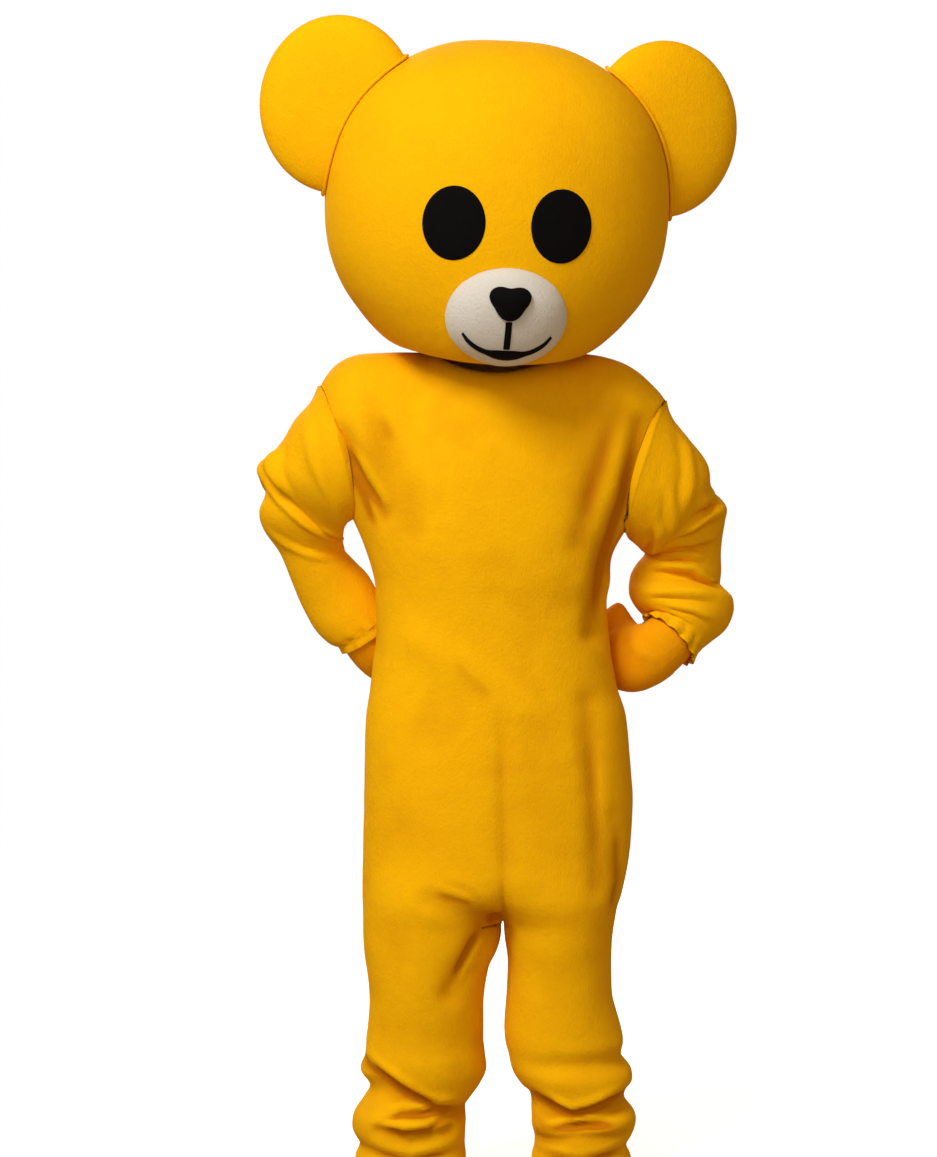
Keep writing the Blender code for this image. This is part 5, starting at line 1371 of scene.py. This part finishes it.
def build_hem_stitches(suit, rows, thread):
    """Two rows of stitches round each leg, above the hem."""
    heights = suit_heights()
    for side in (RIGHT, LEFT):
        for number, above in enumerate(HEM_STITCHES):
            j = FINE_YOKE + 1 + min(range(len(heights)), key=lambda k: abs(heights[k] - HEM_Z - above))
            ring = rows[side, FRONT][j] + rows[side, BACK][j][::-1]
            sew(f"hem_stitches_{SIDE_NAMES[side]}_{number + 1}", row_line(suit, ring, STITCH_LIFT), thread)


# Head pieces

def build_head(fleece):
    cloth = Cloth()
    last = len(HEAD) - 1
    for side in (RIGHT, LEFT):
        for face in (FRONT, BACK):
            rows = []
            for step in range(last * HEAD_STEPS + 1):
                level = step / HEAD_STEPS
                row = []
                for i in range(HEAD_FINE_COLUMNS + 1):
                    u = i / HEAD_FINE_COLUMNS
                    name = (side, face, i, step)
                    if i == 0:
                        name = ("centre", face, step)
                    if i == HEAD_FINE_COLUMNS:
                        name = ("side", side, step)
                    if step == 0:
                        name = "crown"
                    sink = sewn_in((1 - u) * HEAD_QUARTER, HEAD_SEAM)
                    if face == BACK:
                        sink = max(sink, sewn_in(u * HEAD_QUARTER, HEAD_SEAM))
                    row.append(cloth.point(name, HEAD_TURN @ head_point(side, face, u, level), sink))
                rows.append(row)
            cloth.grid(f"head_{panel_name(side, face)}", rows, flip=side * face < 0)
    cloth.settle()
    cutter = build_cutter(cloth)
    cloth.push(softness(cloth.places, FIRM_SOFTNESS) - cloth.sink, HEAD_SHADE)
    for side in (RIGHT, LEFT):
        for face in (FRONT, BACK):
            node = f"head_{panel_name(side, face)}"
            cloth.piece(f"{node}_cover", node, HEAD_WALL, fleece)
    return cutter


def build_cutter(head):
    """The head's closed form, that the ears are cut with."""
    places = [Vector(p) + Vector(n) * LAY_GAP for p, n in zip(head.places, head.normals)]
    rim = {int(a): int(b) for a, b in head.rim(head.all_faces)}
    loop = [next(iter(rim))]
    while rim[loop[-1]] != loop[0]:
        loop.append(rim[loop[-1]])
    places.append(sum((places[k] for k in loop), Vector()) / len(loop))
    faces = [tuple(face) for face in head.all_faces]
    faces += [(b, a, len(places) - 1) for a, b in zip(loop, loop[1:] + loop[:1])]
    cutter = make_piece("head_cutter", places, faces, bpy.data.materials[0])
    return cutter


def build_ear(side, cutter, fleece):
    """A puffed plate with a round edge, cut to the head where it stands on it."""
    points = []
    turn = HEAD_TURN @ ear_frame(side)
    for k in range(EAR_RINGS + 1):
        tilt = math.pi * k / EAR_RINGS
        across = math.sin(tilt)
        y = -math.copysign(ear_thickness(across), math.cos(tilt))
        for r in range(EAR_SIDES):
            angle = 2 * math.pi * r / EAR_SIDES
            x, z = across * math.cos(angle) * EAR_HALF[0], across * math.sin(angle) * EAR_HALF[2]
            points.append(turn @ Vector((x, y, z)))
    faces = ring_faces(EAR_RINGS, EAR_SIDES, flip=True)
    ear = make_piece(f"ear_{SIDE_NAMES[side]}_puff", points, faces, fleece)
    weld = ear.modifiers.new("weld", "WELD")
    weld.merge_threshold = WELD_REACH
    cut = ear.modifiers.new("head_cut", "BOOLEAN")
    cut.operation = "DIFFERENCE"
    cut.solver = "EXACT"
    cut.object = cutter
    baked = bpy.data.meshes.new_from_object(ear.evaluated_get(bpy.context.evaluated_depsgraph_get()))
    ear.modifiers.clear()
    ear.data = baked
    ear.data.shade_smooth()
    worn(ear, "yellow_fleece", f"ear_{SIDE_NAMES[side]}")


def build_welt(side, fleece):
    """The cord of cloth sewn in round the foot of an ear."""
    inverse = ear_frame(side).inverted()
    lift = WELT_RADIUS + 2 * LAY_GAP
    clear = WELT_RADIUS + 3 * LAY_GAP

    def inside(place):
        spot = inverse @ place
        share = math.hypot(spot.x / (EAR_HALF[0] + clear), spot.z / (EAR_HALF[2] + clear))
        return share < 1 and abs(spot.y) < (EAR_HALF[1] + clear) * power(1 - share ** EAR_EDGE_POWER, 0.5)

    def spot(share, turn):
        y = EAR_PLACE[side].y + WELT_REACH_Y * share * math.cos(turn)
        return y, EAR_PLACE[side].z - WELT_DROP + WELT_REACH_Z * share * math.sin(turn)

    places = []
    for k in range(WELT_FINE_POINTS):
        turn = 2 * math.pi * k / WELT_FINE_POINTS
        low, high = 0.0, 1.0
        for _ in range(WELT_HALVINGS):
            share = (low + high) / 2
            y, z = spot(share, turn)
            if z < HEAD[2][0] and inside(head_side(side, y, z, lift)):
                low = share
            else:
                high = share
        places.append(HEAD_TURN @ head_side(side, *spot(low, turn), lift))
    curve = bpy.data.curves.new(f"welt_cord_{SIDE_NAMES[side]}", "CURVE")
    curve.dimensions = "3D"
    curve.bevel_depth = WELT_RADIUS
    curve.bevel_resolution = 4
    spline = curve.splines.new("POLY")
    spline.points.add(len(places) - 1)
    for point, place in zip(spline.points, places):
        point.co = (*place, 1.0)
    spline.use_cyclic_u = True
    curve.materials.append(fleece)
    welt = bpy.data.objects.new(curve.name, curve)
    bpy.context.scene.collection.objects.link(welt)
    worn(welt, "yellow_fleece", f"ear_welt_{SIDE_NAMES[side]}")


def build_patch(name, surface, outline, rings, gap, rise, material):
    """A closed patch on a surface: the outline gives its reach in x and z, rise(share) its height."""
    sides = len(outline)
    places, faces = [], []

    def spot(share, r, lift):
        x0, z0, dx, dz = outline[r]
        x, z = x0 + dx * share, z0 + dz * share
        return HEAD_TURN @ (surface(x, z) + outward(surface, x, z) * lift)

    for layer in (0, 1):
        places.append(spot(0.0, 0, gap + (rise(0.0) if layer else 0.0)))
        for share in rings:
            for r in range(sides):
                places.append(spot(share, r, gap + (rise(share) if layer else 0.0)))
    size = 1 + len(rings) * sides

    def at(layer, ring, r):
        return layer * size + 1 + ring * sides + r % sides

    for r in range(sides):
        faces.append((size, at(1, 0, r), at(1, 0, r + 1)))
        faces.append((0, at(0, 0, r + 1), at(0, 0, r)))
        for ring in range(len(rings) - 1):
            faces.append((at(1, ring, r), at(1, ring + 1, r), at(1, ring + 1, r + 1), at(1, ring, r + 1)))
            faces.append((at(0, ring, r + 1), at(0, ring + 1, r + 1), at(0, ring + 1, r), at(0, ring, r)))
        last = len(rings) - 1
        faces.append((at(1, last, r), at(0, last, r), at(0, last, r + 1), at(1, last, r + 1)))
    return make_piece(name, places, faces, material)


def build_strip(name, surface, line, material):
    """A stroke of felt on a surface. Each row of the line is a middle x, z and a half width x, z."""
    places = []
    profile = [(shift, MOUTH_WALL * share) for shift, share in STROKE_PROFILE]
    profile += [(1.0, LAY_GAP), (-1.0, LAY_GAP)]
    for x, z, wide_x, wide_z in line:
        for shift, lift in profile:
            at_x, at_z = x + shift * wide_x, z + shift * wide_z
            places.append(HEAD_TURN @ (surface(at_x, at_z) + outward(surface, at_x, at_z) * lift))
    count = len(profile)
    ends = [tuple(range(count))[::-1], tuple(range(len(places) - count, len(places)))]
    return make_piece(name, places, ring_faces(len(line) - 1, count) + ends, material)


def build_face(plush, felt):
    def eye_rise(share):
        return EYE_EDGE + (EYE_WALL - EYE_EDGE) * power(1 - share ** EYE_POWER, 0.5)

    def nose_rise(share):
        return NOSE_EDGE + NOSE_RISE * power(1 - share ** NOSE_POWER, 0.5)

    for side in (RIGHT, LEFT):
        node = f"eye_{SIDE_NAMES[side]}"
        outline = oval(*EYE_PLACE[side], EYE_HALF_X, EYE_HALF_Z, PATCH_SIDES)
        eye = build_patch(f"{node}_felt", face_front, outline, EYE_RINGS, LAY_GAP, eye_rise, felt)
        worn(eye, "black_felt", node)
    outline = oval(MUZZLE_X, MUZZLE_Z, MUZZLE_HALF_X, MUZZLE_HALF_Z, MUZZLE_SIDES)
    muzzle = build_patch("muzzle_puff", face_front, outline, MUZZLE_RINGS, MUZZLE_LIFT, muzzle_rise, plush)
    worn(muzzle, "white_plush", "muzzle")
    outline = nose_outline(PATCH_SIDES)
    nose = build_patch("nose_puff", muzzle_front, outline, NOSE_RINGS, LAY_GAP, nose_rise, felt)
    worn(nose, "black_felt", "nose")
    fall = (BAR_BOTTOM - BAR_TOP) / BAR_STEPS
    bar = [(MUZZLE_X, BAR_TOP + fall * k, BAR_HALF, 0.0) for k in range(BAR_STEPS + 1)]
    worn(build_strip("mouth_bar_felt", muzzle_front, bar, felt), "black_felt", "mouth_bar")
    smile = []
    for k in range(SMILE_STEPS + 1):
        share = 2 * k / SMILE_STEPS - 1
        height, half = between(SMILE, share)
        wide = Vector((-SMILE_SLOPE * share, 1.0)).normalized() * half
        smile.append((MUZZLE_X + share * SMILE_HALF, height, wide.x, wide.y))
    worn(build_strip("mouth_smile_felt", muzzle_front, smile, felt), "black_felt", "mouth_smile")


# Studio

def plain_finish(name, colour, glow):
    """A smooth pale finish that gives off a little light of its own."""
    finish = Finish(name)
    speck = finish.noise(scale=40, detail=3)
    finish.colour(finish.blend(speck, (*[c * FLOOR_SPECK for c in colour], 1.0), (*colour, 1.0)))
    finish.shader.inputs["Emission Color"].default_value = (1.0, 1.0, 1.0, 1.0)
    finish.shader.inputs["Emission Strength"].default_value = glow
    return finish.material


def stage_mesh(name, places, faces, material):
    """A thing of the studio. Its light doesn't fall on the costume."""
    mesh = bpy.data.meshes.new(name)
    mesh.from_pydata(places, [], faces)
    mesh.materials.append(material)
    thing = bpy.data.objects.new(name, mesh)
    bpy.context.scene.collection.objects.link(thing)
    thing.visible_diffuse = thing.visible_glossy = thing.visible_shadow = False
    return thing


def build_studio():
    turns = [2 * math.pi * k / FLOOR_SIDES for k in range(FLOOR_SIDES)]
    ring = [(FLOOR_RADIUS * math.cos(turn), FLOOR_RADIUS * math.sin(turn), FLOOR_Z) for turn in turns]
    finish = plain_finish("pale_floor", FLOOR_COLOUR, FLOOR_GLOW)
    stage_mesh("floor", ring, [tuple(range(FLOOR_SIDES))], finish)
    places = []
    for k in range(DOME_RINGS + 1):
        tilt = math.pi * k / DOME_RINGS
        reach, z = DOME_RADIUS * math.sin(tilt), DOME_RADIUS * math.cos(tilt)
        for r in range(DOME_SIDES):
            angle = 2 * math.pi * r / DOME_SIDES
            places.append((reach * math.cos(angle), reach * math.sin(angle), z))
    faces = ring_faces(DOME_RINGS, DOME_SIDES)
    stage_mesh("backdrop", places, faces, plain_finish("white_backdrop", (0.0, 0.0, 0.0), 1.0))
    for name, place, size, power_watts in LAMPS:
        light = bpy.data.lights.new(name, "AREA")
        light.shape = "RECTANGLE"
        light.size, light.size_y = size
        light.energy = power_watts
        lamp = bpy.data.objects.new(name, light)
        lamp.location = place
        lamp.rotation_euler = (LAMP_TARGET - Vector(place)).to_track_quat("-Z", "Y").to_euler()
        bpy.context.scene.collection.objects.link(lamp)
    world = bpy.data.worlds.new("studio")
    world.use_nodes = True
    world.node_tree.nodes["Background"].inputs["Color"].default_value = WORLD_COLOUR
    world.node_tree.nodes["Background"].inputs["Strength"].default_value = WORLD_STRENGTH
    bpy.context.scene.world = world
    bpy.context.scene.view_settings.view_transform = "Standard"


def build_camera():
    data = bpy.data.cameras.new("camera")
    data.sensor_width = SENSOR
    data.lens = SENSOR / (2 * math.tan(math.radians(VIEW_HEIGHT_DEGREES) / 2))
    camera = bpy.data.objects.new("camera", data)
    camera.location = CAMERA_PLACE
    camera.rotation_euler = (CAMERA_TARGET - CAMERA_PLACE).to_track_quat("-Z", "Y").to_euler()
    bpy.context.scene.collection.objects.link(camera)
    bpy.context.scene.camera = camera


def main():
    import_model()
    fleece = fleece_finish("golden_fleece", FLEECE_DEEP, FLEECE_LIGHT)
    # the mitts' fleece is painted a deeper orange as shade
    mitt_shaded_fleece = fleece_finish("orange_fleece", MITT_SHADED_DEEP, MITT_SHADED_LIGHT)
    plush = plush_finish()
    felt, thread = felt_finish(), thread_finish()
    suit, rows = build_suit(fleece)
    for side in (RIGHT, LEFT):
        build_cuff(side, fleece)
        build_mitt(side, mitt_shaded_fleece)
    build_placket(suit, rows, fleece, thread)
    build_hem_stitches(suit, rows, thread)
    cutter = build_head(fleece)
    for side in (RIGHT, LEFT):
        build_ear(side, cutter, fleece)
        build_welt(side, fleece)
    bpy.data.objects.remove(cutter, do_unlink=True)
    build_face(plush, felt)
    build_studio()
    build_camera()


main()
